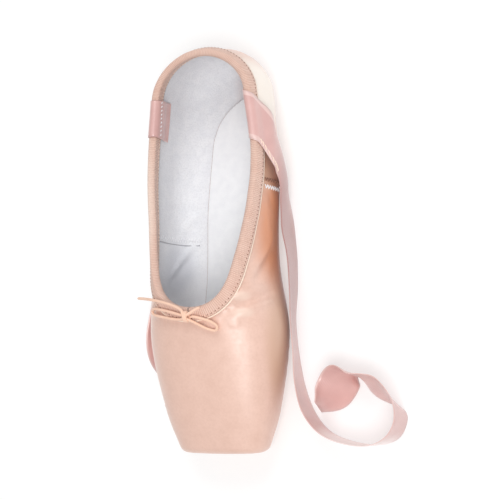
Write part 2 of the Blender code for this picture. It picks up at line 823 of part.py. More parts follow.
def ribbon(name, grid):
    """A thin satin strip through rows of points, cut on the slant at its end."""
    lengths = [0.0]
    for before, row in zip(grid, grid[1:]):
        lengths.append(lengths[-1] + (row[1] - before[1]).length)
    for row, length in zip(grid, lengths):
        kept = 0.04 + 0.96 * min((lengths[-1] - length) / RIBBON_CUT, 1.0)
        row[:] = [row[0] + (point - row[0]) * kept for point in row]
    rings = []
    last = len(grid[0]) - 1
    for i, row in enumerate(grid):
        front, back = [], []
        for j, point in enumerate(row):
            ahead = grid[min(i + 1, len(grid) - 1)][j] - grid[max(i - 1, 0)][j]
            across = row[min(j + 1, last)] - row[max(j - 1, 0)]
            face = ahead.cross(across).normalized() * (RIBBON_THICK / 2)
            front.append(point + face)
            back.append(point - face)
        rings.append(front + back[::-1])
    loft(name, rings, RIBBON)


def make_ribbons():
    """The two ribbons, one sewn to each side of the collar."""
    right_end = sewn_end(1, RIGHT_SEWN_AT, RIBBON_SLANT)
    ribbon("ribbon_right", right_end + spread(laid(RIGHT_RIBBON), FALL_SLANT))
    left_end = sewn_end(-1, LEFT_SEWN_AT, 0.0)
    ribbon("ribbon_left", left_end + spread(laid(LEFT_RIBBON), 0.0))


for old in list(bpy.data.objects):
    bpy.data.objects.remove(old, do_unlink=True)
shoe = bpy.data.collections.new("pointe_shoe")
bpy.context.scene.collection.children.link(shoe)

make_upper()
make_outsole()
make_insole()
make_binding()
make_bow()
make_ribbons()
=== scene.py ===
"""Looks for a pointe shoe that stands on its sole, with its drawstring bow and satin ribbons.

Sizes are in millimetres, as in the part's own source, and every mesh is written in metres.
The toe points to -Y, +X is the shoe's right, and the floor is z = 0.
"""

import math
from collections import namedtuple

import bpy
import numpy as np
from mathutils import Matrix, Vector, noise


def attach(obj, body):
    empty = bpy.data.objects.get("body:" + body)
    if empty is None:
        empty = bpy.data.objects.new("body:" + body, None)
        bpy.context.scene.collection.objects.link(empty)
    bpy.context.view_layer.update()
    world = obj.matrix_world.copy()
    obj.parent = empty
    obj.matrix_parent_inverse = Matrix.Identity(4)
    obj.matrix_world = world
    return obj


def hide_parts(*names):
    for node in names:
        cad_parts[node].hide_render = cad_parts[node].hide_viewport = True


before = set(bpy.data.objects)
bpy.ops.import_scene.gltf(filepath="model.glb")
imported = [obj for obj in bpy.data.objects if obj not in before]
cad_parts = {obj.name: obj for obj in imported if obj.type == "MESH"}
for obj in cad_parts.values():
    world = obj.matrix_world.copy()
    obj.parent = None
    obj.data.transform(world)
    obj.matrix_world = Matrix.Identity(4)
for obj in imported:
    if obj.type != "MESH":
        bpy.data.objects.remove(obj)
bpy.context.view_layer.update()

MM = 0.001
BODY = "root"
WEAVE = "weave"


def table(columns, *rows):
    """Rows of numbers whose columns have names."""
    row = namedtuple("Row", columns)
    return [row(*values) for values in rows]


# The last and its openings, with the same sizes as the solids
LENGTH = 234.5
HEEL_RADIUS = 31.0
HEEL_CENTRE = LENGTH - HEEL_RADIUS
UNDER_POWER = 2.2
PLATFORM_LEAN = 0.09
PLATFORM_LEAN_ENDS = 45.0
PLATFORM_LEAN_HEIGHT = 15.0
PLATFORM_EDGE = 3.2
PLATFORM_TOP = 30.5
MIDDLE = (LENGTH - PLATFORM_LEAN * (PLATFORM_TOP - PLATFORM_LEAN_HEIGHT)) / 2
LAST = table(
    "at half_width wide_height flat_half crown power",
    (0.0, 26.2, 17.8, 12.0, PLATFORM_TOP, 2.6),
    (23.3, 34.3, 20.0, 19.0, 40.3, 2.5),
    (66.6, 40.9, 24.0, 25.5, 54.4, 2.3),
    (108.0, 35.2, 23.0, 21.0, 64.0, 2.2),
    (150.0, 36.2, 22.0, 17.5, 75.4, 2.1),
    (HEEL_CENTRE, 32.1, 21.5, 16.5, 92.0, 2.0),
)
UNDERSIDE = table(
    "at lift",
    (0.0, 1.9),
    (23.3, 1.0),
    (50.0, 0.0),
    (84.0, 0.0),
    (138.0, 4.8),
    (188.0, 0.0),
    (LENGTH, 0.0),
)
THROAT = 78.1
THROAT_RUN = 57.2
COLLAR = table(
    "at left right",
    (THROAT, 46.2, 46.2),
    (120.0, 45.6, 46.8),
    (140.0, 45.6, 44.8),
    (156.0, 45.6, 42.6),
    (175.0, 45.8, 41.4),
    (205.0, 46.1, 43.6),
    (LENGTH, 46.5, 46.5),
)
SLUMP = 1.2
SLUMP_FOOT = 20.0
SLUMP_TOP = 45.0
SLUMP_FROM = 66.0
SLUMP_FULL = 110.0
HEEL_DRAW = 4.4
HEEL_DRAW_FOOT = 26.0
HEEL_DRAW_FROM = 175.0
WALL_BOX = 2.6
WALL_QUARTER = 1.6
WALL_BOX_ENDS = 62.0
WALL_QUARTER_STARTS = 100.0
OPEN_FRONT = 44.0
OPEN_FRONT_ROUND = 16.0
OPEN_BACK = 195.0
OPEN_BACK_ROUND = 12.0
SOLE_OPENING = table(
    "at half_width",
    (44.0, 15.0),
    (70.0, 15.0),
    (140.0, 8.0),
    (195.0, 8.0),
)
OUTSOLE_THICK = 3.0
OUTSOLE_FRONT = 27.0
OUTSOLE_BACK = 224.0
OUTSOLE_FRONT_ROUND = 24.0
OUTSOLE_BACK_ROUND = 19.0
OUTSOLE = table(
    "at half_width",
    (27.0, 21.0),
    (66.0, 25.0),
    (100.0, 20.5),
    (142.0, 14.5),
    (180.0, 17.5),
    (205.0, 19.0),
    (224.0, 18.5),
)
INSOLE_THICK = 2.4
INSOLE_GAP = 0.5
INSOLE = table(
    "at left right",
    (34.0, -7.0, 7.0),
    (40.0, -14.0, 14.0),
    (52.0, -18.5, 18.5),
    (68.0, -20.0, 20.0),
    (84.0, -19.0, 19.5),
    (105.0, -16.5, 17.5),
    (128.0, -14.8, 16.2),
    (150.0, -14.0, 16.0),
    (170.0, -13.6, 17.0),
    (182.0, -13.0, 18.0),
    (191.0, -10.2, 18.9),
    (198.0, -5.6, 19.0),
    (203.0, 0.0, 18.4),
    (207.0, 6.5, 16.8),
)
GAP = 0.3
FOLD_GAP = 0.5
BINDING_DROP = 5.8
BINDING_THICK = 1.0
BINDING_ROLL = 1.5

# The ribbons: where they cross the collar's edge, and how they fall and lie
RIBBON_WIDTH = 24.0
RIBBON_THICK = 0.4
RIBBON_CUT = 2.0
RIBBON_CLEAR = 0.3
RIGHT_SEWN_AT = 188.5
LEFT_SEWN_AT = 193.0
RIBBON_SLANT = math.radians(36.0)
FALL_SLANT = 0.9
FALL_SQUARE = 26.0
OVER_EDGE = table(
    "at depth offset inner",
    (-18.7, 16.5, -0.55, 1.0),
    (-14.2, 12.0, -0.7, 1.0),
    (-9.2, 6.8, -2.1, 1.0),
    (-5.6, 2.9, -2.35, 1.0),
    (-2.5, 0.0, -2.2, 1.0),
    (-1.2, -1.5, -0.9, 1.0),
    (0.0, -2.5, 0.0, 0.5),
    (1.2, -1.5, 0.9, 0.0),
    (2.5, 0.0, 2.2, 0.0),
    (5.6, 2.9, 2.35, 0.0),
    (9.5, 6.8, 2.1, 0.0),
)
# A ribbon's fall: the x, y and z of its middle, then those of its way across
RIGHT_RIBBON = (
    (38.8, 59.8, 33.0, 0.02, -0.90, 0.33),
    (39.9, 49.3, 22.9, 0.20, -0.85, 0.49),
    (39.1, 36.9, 14.7, 0.24, -0.59, 0.76),
    (37.7, 23.0, 11.9, 0.19, -0.15, 0.97),
    (38.5, 7.8, 11.8, 0.12, 0.0, 0.99),
    (40.4, -6.2, 11.8, 0.19, 0.0, 0.98),
    (41.1, -24.6, 11.8, 0.24, 0.0, 0.97),
    (40.6, -42.8, 11.8, 0.30, 0.0, 0.95),
    (42.1, -60.9, 11.8, 0.28, 0.0, 0.96),
    (44.5, -78.9, 11.9, 0.19, 0.0, 0.98),
    (49.7, -94.4, 12.0, 0.12, 0.0, 0.99),
    (59.1, -105.4, 12.2, 0.10, 0.0, 0.99),
    (72.5, -110.8, 12.3, 0.06, 0.0, 1.0),
    (88.0, -112.4, 12.3, 0.0, 0.0, 1.0),
    (99.0, -108.0, 12.3, 0.0, 0.0, 1.0),
    (104.0, -98.5, 12.2, 0.05, 0.0, 1.0),
    (102.5, -91.0, 11.6, 0.05, 0.25, 0.97),
    (95.5, -85.0, 10.8, 0.0, 0.50, 0.86),
    (87.5, -80.0, 10.2, -0.12, 0.62, 0.78),
    (79.5, -75.0, 10.6, -0.45, 0.40, 0.80),
    (73.5, -72.5, 11.0, -0.72, 0.12, 0.69),
    (69.3, -76.0, 10.8, -0.82, 0.0, 0.57),
    (66.0, -81.5, 10.2, -0.82, -0.02, 0.57),
    (61.8, -87.3, 10.4, -0.68, -0.05, 0.73),
    (58.0, -90.9, 11.4, -0.32, -0.06, 0.94),
    (55.2, -93.0, 12.3, 0.04, 0.0, 1.0),
)
LEFT_RIBBON = (
    (-37.2, 75.0, 33.0, -0.02, -0.98, 0.18),
    (-39.4, 69.5, 24.5, -0.10, -0.93, 0.36),
    (-41.0, 60.0, 17.5, -0.20, -0.75, 0.63),
    (-41.6, 45.0, 13.2, -0.24, -0.42, 0.87),
    (-40.8, 27.0, 11.9, -0.19, -0.12, 0.97),
    (-40.6, 9.0, 11.8, -0.16, 0.0, 0.99),
    (-41.4, -12.0, 11.8, -0.24, 0.0, 0.97),
    (-43.0, -30.0, 11.6, -0.30, 0.0, 0.95),
    (-45.8, -46.0, 11.2, -0.40, 0.0, 0.92),
    (-45.6, -56.0, 9.6, -0.60, 0.0, 0.80),
    (-42.6, -66.0, 4.6, -0.92, 0.0, 0.38),
    (-41.0, -77.0, 0.8, -1.0, 0.05, 0.0),
    (-38.5, -92.0, 0.8, -0.99, 0.15, 0.0),
)

# The drawstring: the first cord makes the left loop and the right end, the second the other two.
# Each row is a place's x and y, and its lift above the binding.
CORD = 1.6
FIRST_CORD = (
    (-0.9, -39.9, 1.1),
    (-1.3, -41.2, 1.4),
    (-3.2, -41.6, 2.2),
    (-5.8, -41.0, 2.4),
    (-12.0, -39.3, 2.1),
    (-20.0, -37.5, 1.9),
    (-25.0, -36.8, 1.9),
    (-27.3, -38.2, 1.9),
    (-25.0, -40.2, 1.7),
    (-18.0, -41.8, 1.6),
    (-11.0, -43.2, 1.7),
    (-5.2, -43.6, 1.9),
    (-2.0, -42.6, 3.1),
    (0.4, -41.2, 3.6),
    (2.6, -40.2, 3.2),
    (5.0, -38.8, 2.9),
    (8.2, -37.6, 2.8),
)
SECOND_CORD = (
    (-1.5, -45.3, 1.0),
    (-0.3, -43.4, 1.2),
    (2.3, -42.4, 2.0),
    (7.6, -43.6, 2.0),
    (12.6, -45.4, 1.5),
    (15.6, -48.0, 0.9),
    (14.4, -50.2, 0.6),
    (10.6, -49.4, 0.8),
    (6.4, -47.4, 1.4),
    (2.2, -45.1, 1.8),
    (-0.6, -43.6, 3.1),
    (-2.2, -41.4, 4.4),
    (-3.6, -38.7, 3.2),
    (-9.0, -36.0, 2.6),
    (-17.0, -33.6, 3.2),
    (-25.0, -31.9, 4.7),
    (-33.0, -30.6, 8.2),
    (-39.0, -29.9, 25.4),
)
KNOT_WRAP = (-1.2, -42.3, 2.5)
KNOT_WRAP_HALF = (1.9, 3.3, 2.4)
KNOT_TURNS = 1.9
KNOT_DRIFT = 0.55
KNOT_CORD = 0.52


def through(rows, column, at):
    """The values at stations of a smooth curve through one column, with no overshoot."""
    places = np.array([row.at for row in rows])
    values = np.array([getattr(row, column) for row in rows])
    at = np.clip(np.asarray(at, float), places[0], places[-1])
    steps = np.diff(places)
    rises = np.diff(values) / steps
    slopes = np.concatenate([rises[:1], np.zeros(len(rises) - 1), rises[-1:]])
    for k in range(1, len(rises)):
        if rises[k - 1] * rises[k] > 0:
            near, far = steps[k - 1], steps[k]
            weighted = (2 * far + near) / rises[k - 1] + (far + 2 * near) / rises[k]
            slopes[k] = 3 * (near + far) / weighted
    k = np.clip(np.searchsorted(places, at, side="right") - 1, 0, len(steps) - 1)
    s = (at - places[k]) / steps[k]
    return (
        values[k] * (1 + 2 * s) * (1 - s) ** 2
        + slopes[k] * steps[k] * s * (1 - s) ** 2
        + values[k + 1] * s * s * (3 - 2 * s)
        + slopes[k + 1] * steps[k] * s * s * (s - 1)
    )


def last_at(at, *columns):
    """The last's measures at stations, one for each column."""
    return [through(LAST, column, at) for column in columns]


def run_along(points):
    """How far along a line each of its points lies."""
    return np.concatenate([[0], np.cumsum(np.linalg.norm(np.diff(points, axis=0), axis=1))])


def ease(low, high, value):
    """A smooth step from 0 at low to 1 at high."""
    s = np.clip((value - low) / (high - low), 0.0, 1.0)
    return s * s * (3 - 2 * s)


def wall(at):
    """The thickness of the upper's wall at a station."""
    return WALL_BOX + (WALL_QUARTER - WALL_BOX) * ease(WALL_BOX_ENDS, WALL_QUARTER_STARTS, at)


def floor_of_upper(at):
    """The height of the upper's outer face where it lies on the outsole."""
    return OUTSOLE_THICK + GAP + through(UNDERSIDE, "lift", at)


def section(at, turn):
    """Half-widths and heights on the last: turn is -1 underneath, 0 at the side, 1 on top."""
    at, turn = np.broadcast_arrays(np.asarray(at, float), np.asarray(turn, float))
    wide, level, crown, power = last_at(at, "half_width", "wide_height", "crown", "power")
    flat = through(LAST, "flat_half", at)
    angle = (1 + np.minimum(turn, 0)) * math.pi / 2
    low_x = flat + (wide - flat) * np.sin(angle) ** (2 / UNDER_POWER)
    low_z = level - (level - floor_of_upper(at)) * np.clip(np.cos(angle), 0, 1) ** (2 / UNDER_POWER)
    angle = np.clip(turn, 0, 1) * math.pi / 2
    high_x = wide * np.clip(np.cos(angle), 0, 1) ** (2 / power)
    high_z = level + (crown - level) * np.sin(angle) ** (2 / power)
    return np.where(turn < 0, low_x, high_x), np.where(turn < 0, low_z, high_z)


def place(at, x, z, swing):
    """Points of the right half at stations, or at swings about the heel's centre."""
    fade = np.maximum(0.0, 1 - at / PLATFORM_LEAN_ENDS)
    y = at - PLATFORM_LEAN * (z - PLATFORM_LEAN_HEIGHT) * fade
    reach = x * HEEL_RADIUS / LAST[-1].half_width
    y = np.where(swing > 0, HEEL_CENTRE + reach * np.sin(swing), y)
    x = np.where(swing > 0, x * np.cos(swing), x)
    return np.stack(np.broadcast_arrays(x, y - MIDDLE, z), -1)


def skin(at, turn, swing=0.0):
    """Points of the upper's outer face on its right half."""
    x, z = section(at, turn)
    return place(np.asarray(at, float), x, z, np.asarray(swing, float))


def skin_under(points):
    """The points of the upper's outer face, above its widest line, that lie under points."""
    points = np.asarray(points, float)
    at = points[..., 1] + MIDDLE
    side = np.where(points[..., 0] < 0, -1.0, 1.0)
    x = np.abs(points[..., 0])
    back = (at - HEEL_CENTRE) * LAST[-1].half_width / HEEL_RADIUS
    behind = at > HEEL_CENTRE
    swing = np.where(behind, np.arctan2(back, x), 0.0)
    x = np.where(behind, np.hypot(x, back), x)
    at = np.minimum(at, HEEL_CENTRE)
    wide, level, crown, power = last_at(at, "half_width", "wide_height", "crown", "power")
    across = (x / wide) ** (power / 2)
    up = (np.maximum(points[..., 2] - level, 0.0) / (crown - level)) ** (power / 2)
    found = skin(at, np.arctan2(up, across) / (math.pi / 2), swing)
    found[..., 0] *= side
    return found


def unit(vectors):
    """The vectors at length 1."""
    return vectors / np.maximum(np.linalg.norm(vectors, axis=-1, keepdims=True), 1e-9)


def outward(points):
    """The directions straight out of the upper's outer face at points on it."""
    reach = 0.5
    points = np.asarray(points, float)
    middle = skin_under(points)
    out = np.stack([points[..., 0], 0 * points[..., 0], points[..., 2] - LAST[-1].wide_height], -1)
    behind = points[..., 1] + MIDDLE > HEEL_CENTRE
    out[..., 1] = np.where(behind, points[..., 1] + MIDDLE - HEEL_CENTRE, 0.0)
    along = skin_under(points + (0, reach, 0)) - middle
    turned = unit(np.stack([out[..., 2], 0 * out[..., 0], -out[..., 0]], -1)) * reach
    across = skin_under(points + turned) - middle
    steep = (np.abs(out[..., 1]) > np.abs(out[..., 0]))[..., None]
    along = np.where(steep, skin_under(points + (reach, 0, 0)) - middle, along)
    across = np.where(steep, skin_under(points + (0, 0, reach)) - middle, across)
    normal = unit(np.cross(along, across))
    return np.where((normal * out).sum(-1, keepdims=True) < 0, -normal, normal)


def collar_turn(side, at, swing):
    """How far round the section one side of the collar's edge lies, behind the throat."""
    height = through(COLLAR, "left" if side < 0 else "right", at + HEEL_RADIUS * np.sin(swing))
    level, crown, power = last_at(at, "wide_height", "crown", "power")
    lowest = np.arcsin(((height - level) / (crown - level)) ** (power / 2))
    run = np.clip((at - THROAT) / THROAT_RUN, 0.0, 1.0)
    opened = np.sqrt(np.maximum(1 - (1 - run) ** 2, 0.0))
    return 1 - (1 - lowest / (math.pi / 2)) * opened


def slump(points):
    """How far points of the quarters have leaned to the left and been drawn forward."""
    at = points[..., 1] + MIDDLE
    rise = np.maximum((points[..., 2] - SLUMP_FOOT) / (SLUMP_TOP - SLUMP_FOOT), 0.0)
    left = SLUMP * rise * ease(SLUMP_FROM, SLUMP_FULL, at)
    rise = np.maximum((points[..., 2] - HEEL_DRAW_FOOT) / (SLUMP_TOP - HEEL_DRAW_FOOT), 0.0)
    forward = HEEL_DRAW * rise * ease(HEEL_DRAW_FROM, LENGTH, at)
    return np.stack([-left, -forward, 0 * left], -1)


def rounded_end(at, front, front_round, back, back_round):
    """How much of its width an outline has at stations near its round ends."""
    run = np.minimum((at - front) / front_round, (back - at) / back_round)
    return np.sqrt(np.maximum(1 - (1 - np.clip(run, 0.0, 1.0)) ** 2, 0.0))


def turn_at(at, height):
    """How far round the section a height on its side lies."""
    level, crown, power = last_at(at, "wide_height", "crown", "power")
    up = np.clip((height - level) / (crown - level), 0, 1)
    low = np.clip((level - height) / (level - floor_of_upper(at)), 0, 1)
    above = np.arcsin(up ** (power / 2))
    below = np.arccos(low ** (UNDER_POWER / 2)) - math.pi / 2
    return np.where(height >= level, above, below) / (math.pi / 2)


def on_way(way, turn):
    """Points of the right half, where the way runs on past the heel's centre round to its back."""
    way = np.asarray(way, float)
    return skin(np.minimum(way, HEEL_CENTRE), turn, np.maximum(way - HEEL_CENTRE, 0.0) / HEEL_RADIUS)


def on_wall(side, way, turn, lift):
    """Points at a lift out of the upper's face, with the ways out there."""
    way, turn, lift = np.broadcast_arrays(np.asarray(way, float), np.asarray(turn, float), lift)
    step, twist = 0.3, 0.006
    along = on_way(way + step, turn) - on_way(way - step, turn)
    out = unit(np.cross(along, on_way(way, turn + twist) - on_way(way, turn - twist)))
    points = on_way(way, turn) + out * lift[..., None]
    points[..., 0] *= side
    out[..., 0] *= side
    return points + slump(points), out


def inner_wall(side, way, turn, lift):
    """Points at a lift into the shoe from the lining's face, with the ways in there."""
    points, out = on_wall(side, way, turn, -wall(np.asarray(way, float)) - lift)
    return points, -out


# Materials


def colour(red, green, blue):
    """A linear colour from its 0 to 255 values on a screen, none of them under 11."""
    return tuple(((c / 255 + 0.055) / 1.055) ** 2.4 for c in (red, green, blue))


class Look:
    """A procedural material, with its nodes added one call at a time."""

    def __init__(self, name, base, roughness, **sockets):
        self.material = bpy.data.materials.new(name)
        self.material.use_nodes = True
        self.tree = self.material.node_tree
        self.shader = self.tree.nodes["Principled BSDF"]
        self.shader.inputs["Base Color"].default_value = (*base, 1)
        self.shader.inputs["Roughness"].default_value = roughness
        for key, value in sockets.items():
            self.shader.inputs[key.replace("_", " ")].default_value = value
        self.where = self.tree.nodes.new("ShaderNodeTexCoord").outputs["Object"]
        self.bump = None

    def add(self, kind, settings=None, **links):
        """A node with its settings and its linked or set inputs, by name or by number."""
        node = self.tree.nodes.new(kind)
        for key, value in (settings or {}).items():
            setattr(node, key, value)
        for key, value in links.items():
            socket = node.inputs[int(key[1:])] if key[0] == "_" else node.inputs[key.replace("_", " ")]
            if isinstance(value, bpy.types.NodeSocket):
                self.tree.links.new(value, socket)
            else:
                socket.default_value = value
        return node

    def spots(self, size_mm, detail=3.0, stretch=(1, 1, 1)):
        """A noise whose spots are about a size in millimetres."""
        scale = tuple(1 / s for s in stretch)
        scaled = self.add("ShaderNodeMapping", Vector=self.where, Scale=scale).outputs[0]
        made = self.add("ShaderNodeTexNoise", Vector=scaled, Scale=1 / (size_mm * MM), Detail=detail)
        return made.outputs["Fac"]

    def spread(self, value, low, high, new_low=0.0, new_high=1.0):
        """A value's range stretched over another range."""
        made = self.add("ShaderNodeMapRange", Value=value, _1=low, _2=high, _3=new_low, _4=new_high)
        return made.outputs[0]

    def tint(self, other, factor):
        """Blends the surface's colour towards another one."""
        shader_colour = self.shader.inputs["Base Color"]
        made = self.add("ShaderNodeMix", {"data_type": "RGBA"}, _7=(*other, 1))
        if shader_colour.is_linked:
            self.tree.links.new(shader_colour.links[0].from_socket, made.inputs[6])
        else:
            made.inputs[6].default_value = shader_colour.default_value
        self.tree.links.new(factor, made.inputs[0])
        self.tree.links.new(made.outputs[2], shader_colour)

    def mottle(self, other, size_mm, most, low=0.35, high=0.75, detail=3.0):
        """Blends the colour towards another one in cloudy spots, up to a share."""
        self.tint(other, self.spread(self.spots(size_mm, detail), low, high, 0.0, most))

    def patch(self, other, centre, reach):
        """Blends the colour towards another one near a place."""
        self.tint(other, self.near(centre, reach))

    def relief(self, height, depth_mm, strength=1.0):
        """Adds a bump of a real depth under those already there."""
        made = self.add("ShaderNodeBump", Height=height, Strength=strength, Distance=depth_mm * MM)
        if self.bump:
            self.tree.links.new(self.bump, made.inputs["Normal"])
        self.bump = made.outputs[0]
        self.tree.links.new(self.bump, self.shader.inputs["Normal"])

    def roughen(self, value, low, high):
        """Roughness that follows a value between two limits."""
        self.tree.links.new(self.spread(value, 0.3, 0.7, low, high), self.shader.inputs["Roughness"])

    def near(self, centre, reach):
        """How close the surface is to a place: 1 in the middle, fading to 0 at a reach, in millimetres."""
        vector = "ShaderNodeVectorMath"
        moved = self.add(vector, {"operation": "SUBTRACT"}, _0=self.where, _1=[c * MM for c in centre])
        scaled = self.add(vector, {"operation": "DIVIDE"}, _0=moved.outputs[0], _1=[r * MM for r in reach])
        away = self.add(vector, {"operation": "LENGTH"}, _0=scaled.outputs[0]).outputs["Value"]
        smooth = {"interpolation_type": "SMOOTHSTEP"}
        made = self.add("ShaderNodeMapRange", smooth, Value=away, _1=1.0, _2=0.35, _3=0.0, _4=1.0)
        return made.outputs[0]

    def ribs(self, pitch_mm, depth_mm, way="X"):
        """Fine ribs across the weave."""
        weave = self.add("ShaderNodeUVMap", {"uv_map": WEAVE}).outputs[0]
        scale = math.pi / 10 / (pitch_mm * MM)
        uneven = {"Distortion": 0.6, "Detail": 2.0, "Detail_Scale": 1.5}
        made = self.add("ShaderNodeTexWave", {"bands_direction": way}, Vector=weave, Scale=scale, **uneven)
        self.relief(made.outputs["Fac"], depth_mm)
        return made.outputs["Fac"]

    def selvedge(self, half):
        """1 along both edges of a weave beyond half a width in millimetres, and 0 between them."""
        weave = self.add("ShaderNodeUVMap", {"uv_map": WEAVE}).outputs[0]
        across = self.add("ShaderNodeSeparateXYZ", _0=weave).outputs[1]
        away = self.add("ShaderNodeMath", {"operation": "ABSOLUTE"}, _0=across).outputs[0]
        return self.spread(away, half * MM, (half + 0.4) * MM)


def satin_look(name, base, shade, roughness):
    """Satin: a close thread grain that catches the light, with soft cloudy shading."""
    look = Look(name, base, roughness, Sheen_Weight=0.35, Sheen_Roughness=0.4, Specular_IOR_Level=0.7)
    look.mottle(shade, 7.0, 0.3)
    look.mottle(shade, 1.4, 0.3, low=0.4, detail=4.0)
    look.relief(look.spots(0.9, detail=4.0, stretch=(1, 2.2, 1)), 0.06, 0.6)
    look.roughen(look.spots(2.5), roughness - 0.06, roughness + 0.06)
    return look


def upper_satin():
    """The upper's satin, with painted shade on the right quarter, beside the ribbon and down the right of
    the box, painted highlights on two crease ridges at the throat, and painted light outside the heel.
    """
    look = satin_look("satin", colour(232, 195, 179), colour(212, 172, 154), 0.38)
    # Painted shade: the right quarter turned deeper orange where it lies in shade.
    look.patch(colour(216, 146, 108), (38, 8, 24), (17, 48, 26))
    # Painted shade: browner satin below the collar, where the ribbon shades the quarter.
    look.patch(colour(214, 168, 142), (37, 40, 38), (15, 16, 16))
    # Painted light: paler satin outside the heel, where light from behind and the right falls.
    look.patch(colour(248, 238, 228), (34, 88, 30), (30, 34, 34))
    # Painted shade: darker down the right side of the box, which faces away from the light.
    look.patch(colour(212, 172, 148), (41, -60, 24), (9, 60, 26))
    # Painted highlights: paler satin along two crease ridges at the throat.
    look.patch(colour(236, 206, 190), (27, -31.5, 50), (9, 3.5, 8))
    look.patch(colour(236, 206, 190), (28, -40.5, 49), (10, 3.5, 7))
    return look.material


def tape_look():
    """The collar's tape, ribbed crosswise, with painted shade in the rib troughs and painted light along its
    left side.
    """
    nap = {"Sheen_Weight": 0.3, "Sheen_Roughness": 0.5, "Specular_IOR_Level": 0.3}
    look = Look("tape", colour(236, 204, 188), 0.75, **nap)
    look.mottle(colour(220, 178, 160), 6.0, 0.45)
    fine = look.ribs(1.05, 0.26)
    # Painted shade: darker in the rib troughs, following the ribs' relief.
    look.tint(colour(204, 150, 132), look.spread(fine, 0.75, 0.15, 0.0, 0.45))
    # Painted light: the tape made paler along the collar's left side.
    look.patch(colour(242, 218, 204), (-37, -10, 46), (9, 110, 10))
    look.relief(look.spots(0.5), 0.08, 0.5)
    return look.material


def ribbon_look():
    """Satin ribbon, dusky pink, with its grain along its length, painted shade where it lies beside the
    shoe's right side and painted light where its loop lies on the floor.
    """
    gloss = {"Sheen_Weight": 0.3, "Sheen_Roughness": 0.4, "Specular_IOR_Level": 0.9}
    look = Look("ribbon_satin", colour(222, 178, 172), 0.3, **gloss)
    look.mottle(colour(202, 156, 152), 11.0, 0.5)
    look.tint(colour(230, 196, 190), look.selvedge(RIBBON_WIDTH / 2 - 1.0))
    # Painted shade: darker where the ribbon falls and lies beside the shoe's right side.
    look.patch(colour(178, 132, 128), (41, 0, 14), (12, 84, 26))
    # Painted light: paler where the ribbon's loop lies out on the floor.
    look.patch(colour(252, 236, 232), (74, -112, 12), (34, 14, 30))
    look.ribs(0.9, 0.05, "Y")
    look.relief(look.spots(0.6), 0.03, 0.5)
    return look.material


def lining_look():
    """White lining cloth, with painted light below the throat, painted brownish shade inside the heel and
    painted shade on the left wall by its crease.
    """
    nap = {"Sheen_Weight": 0.2, "Sheen_Roughness": 0.6, "Specular_IOR_Level": 0.2}
    look = Look("lining", colour(236, 237, 240), 0.9, **nap)
    look.mottle(colour(220, 222, 228), 5.0, 0.5)
    look.mottle(colour(206, 207, 211), 0.9, 0.45, low=0.45, high=0.8, detail=4.0)
    # Painted shade: brownish inside the heel.
    look.patch(colour(190, 164, 160), (18, 100, 24), (24, 38, 36))
    # Painted light: paler low in the toe, below the throat.
    look.patch(colour(252, 252, 254), (0, -34, 14), (44, 40, 30))
    # Painted shade: greyer on the left wall beside its crease.
    look.patch(colour(214, 216, 222), (-34, -10, 16), (16, 20, 18))
    look.relief(look.spots(0.8), 0.26, 0.9)
    return look.material


def cloth_look(name, base, shade):
    """Plain woven cloth with a fine nap."""
    look = Look(name, base, 0.9, Sheen_Weight=0.3, Sheen_Roughness=0.6, Specular_IOR_Level=0.2)
    look.mottle(shade, 5.0, 0.4)
    look.relief(look.spots(0.7), 0.12, 0.7)
    return look.material


def leather_look(name, base, shade):
    """Matt split leather with a scuffed, napped face."""
    look = Look(name, base, 0.75, Specular_IOR_Level=0.3)
    look.mottle(shade, 12.0, 0.6, high=0.7, detail=5.0)
    look.relief(look.spots(1.2, detail=6.0), 0.15, 0.6)
    return look.material


SATIN = upper_satin()
LINING = lining_look()
SOCK = cloth_look("sock", colour(238, 239, 241), colour(222, 223, 228))
TAPE = tape_look()
RIBBON = ribbon_look()
THREAD = cloth_look("thread", colour(252, 232, 214), colour(240, 212, 192))
WHITE_THREAD = cloth_look("white_thread", colour(248, 248, 250), colour(226, 226, 232))
# Dark thread of the side zigzag, also used as painted shade of the stitch holes on the tape.
DARK_THREAD_AND_HOLE_SHADE = cloth_look("dark_thread_and_hole_shade", colour(150, 104, 84), colour(126, 84, 66))
# Grey: painted shade along the lining's seam.
SEAM_SHADE = cloth_look("seam_shade", colour(176, 176, 182), colour(158, 158, 166))
CORD_LOOK = cloth_look("cord", colour(244, 204, 180), colour(230, 184, 158))
LEATHER = leather_look("leather", colour(206, 176, 152), colour(186, 152, 126))
LEATHER_EDGE = leather_look("leather_edge", colour(176, 138, 112), colour(150, 114, 92))
# The insole's edges: the board's own tone, darkened as painted shade of the gap beside the insole.
BOARD_AND_GAP_SHADE = cloth_look("board", colour(176, 146, 138), colour(160, 128, 120))


# Meshes


def normals_of(points, faces):
    """Vertex normals of a mesh, from its faces' areas."""
    total = np.zeros_like(points)
    for size in (3, 4):
        some = np.array([face for face in faces if len(face) == size])
        if not len(some):
            continue
        a, b = points[some[:, 2]] - points[some[:, 0]], points[some[:, -1]] - points[some[:, 1]]
        areas = np.cross(a, b) if size == 4 else np.cross(points[some[:, 1]] - points[some[:, 0]], a)
        for k in range(size):
            np.add.at(total, some[:, k], areas)
    return unit(total)


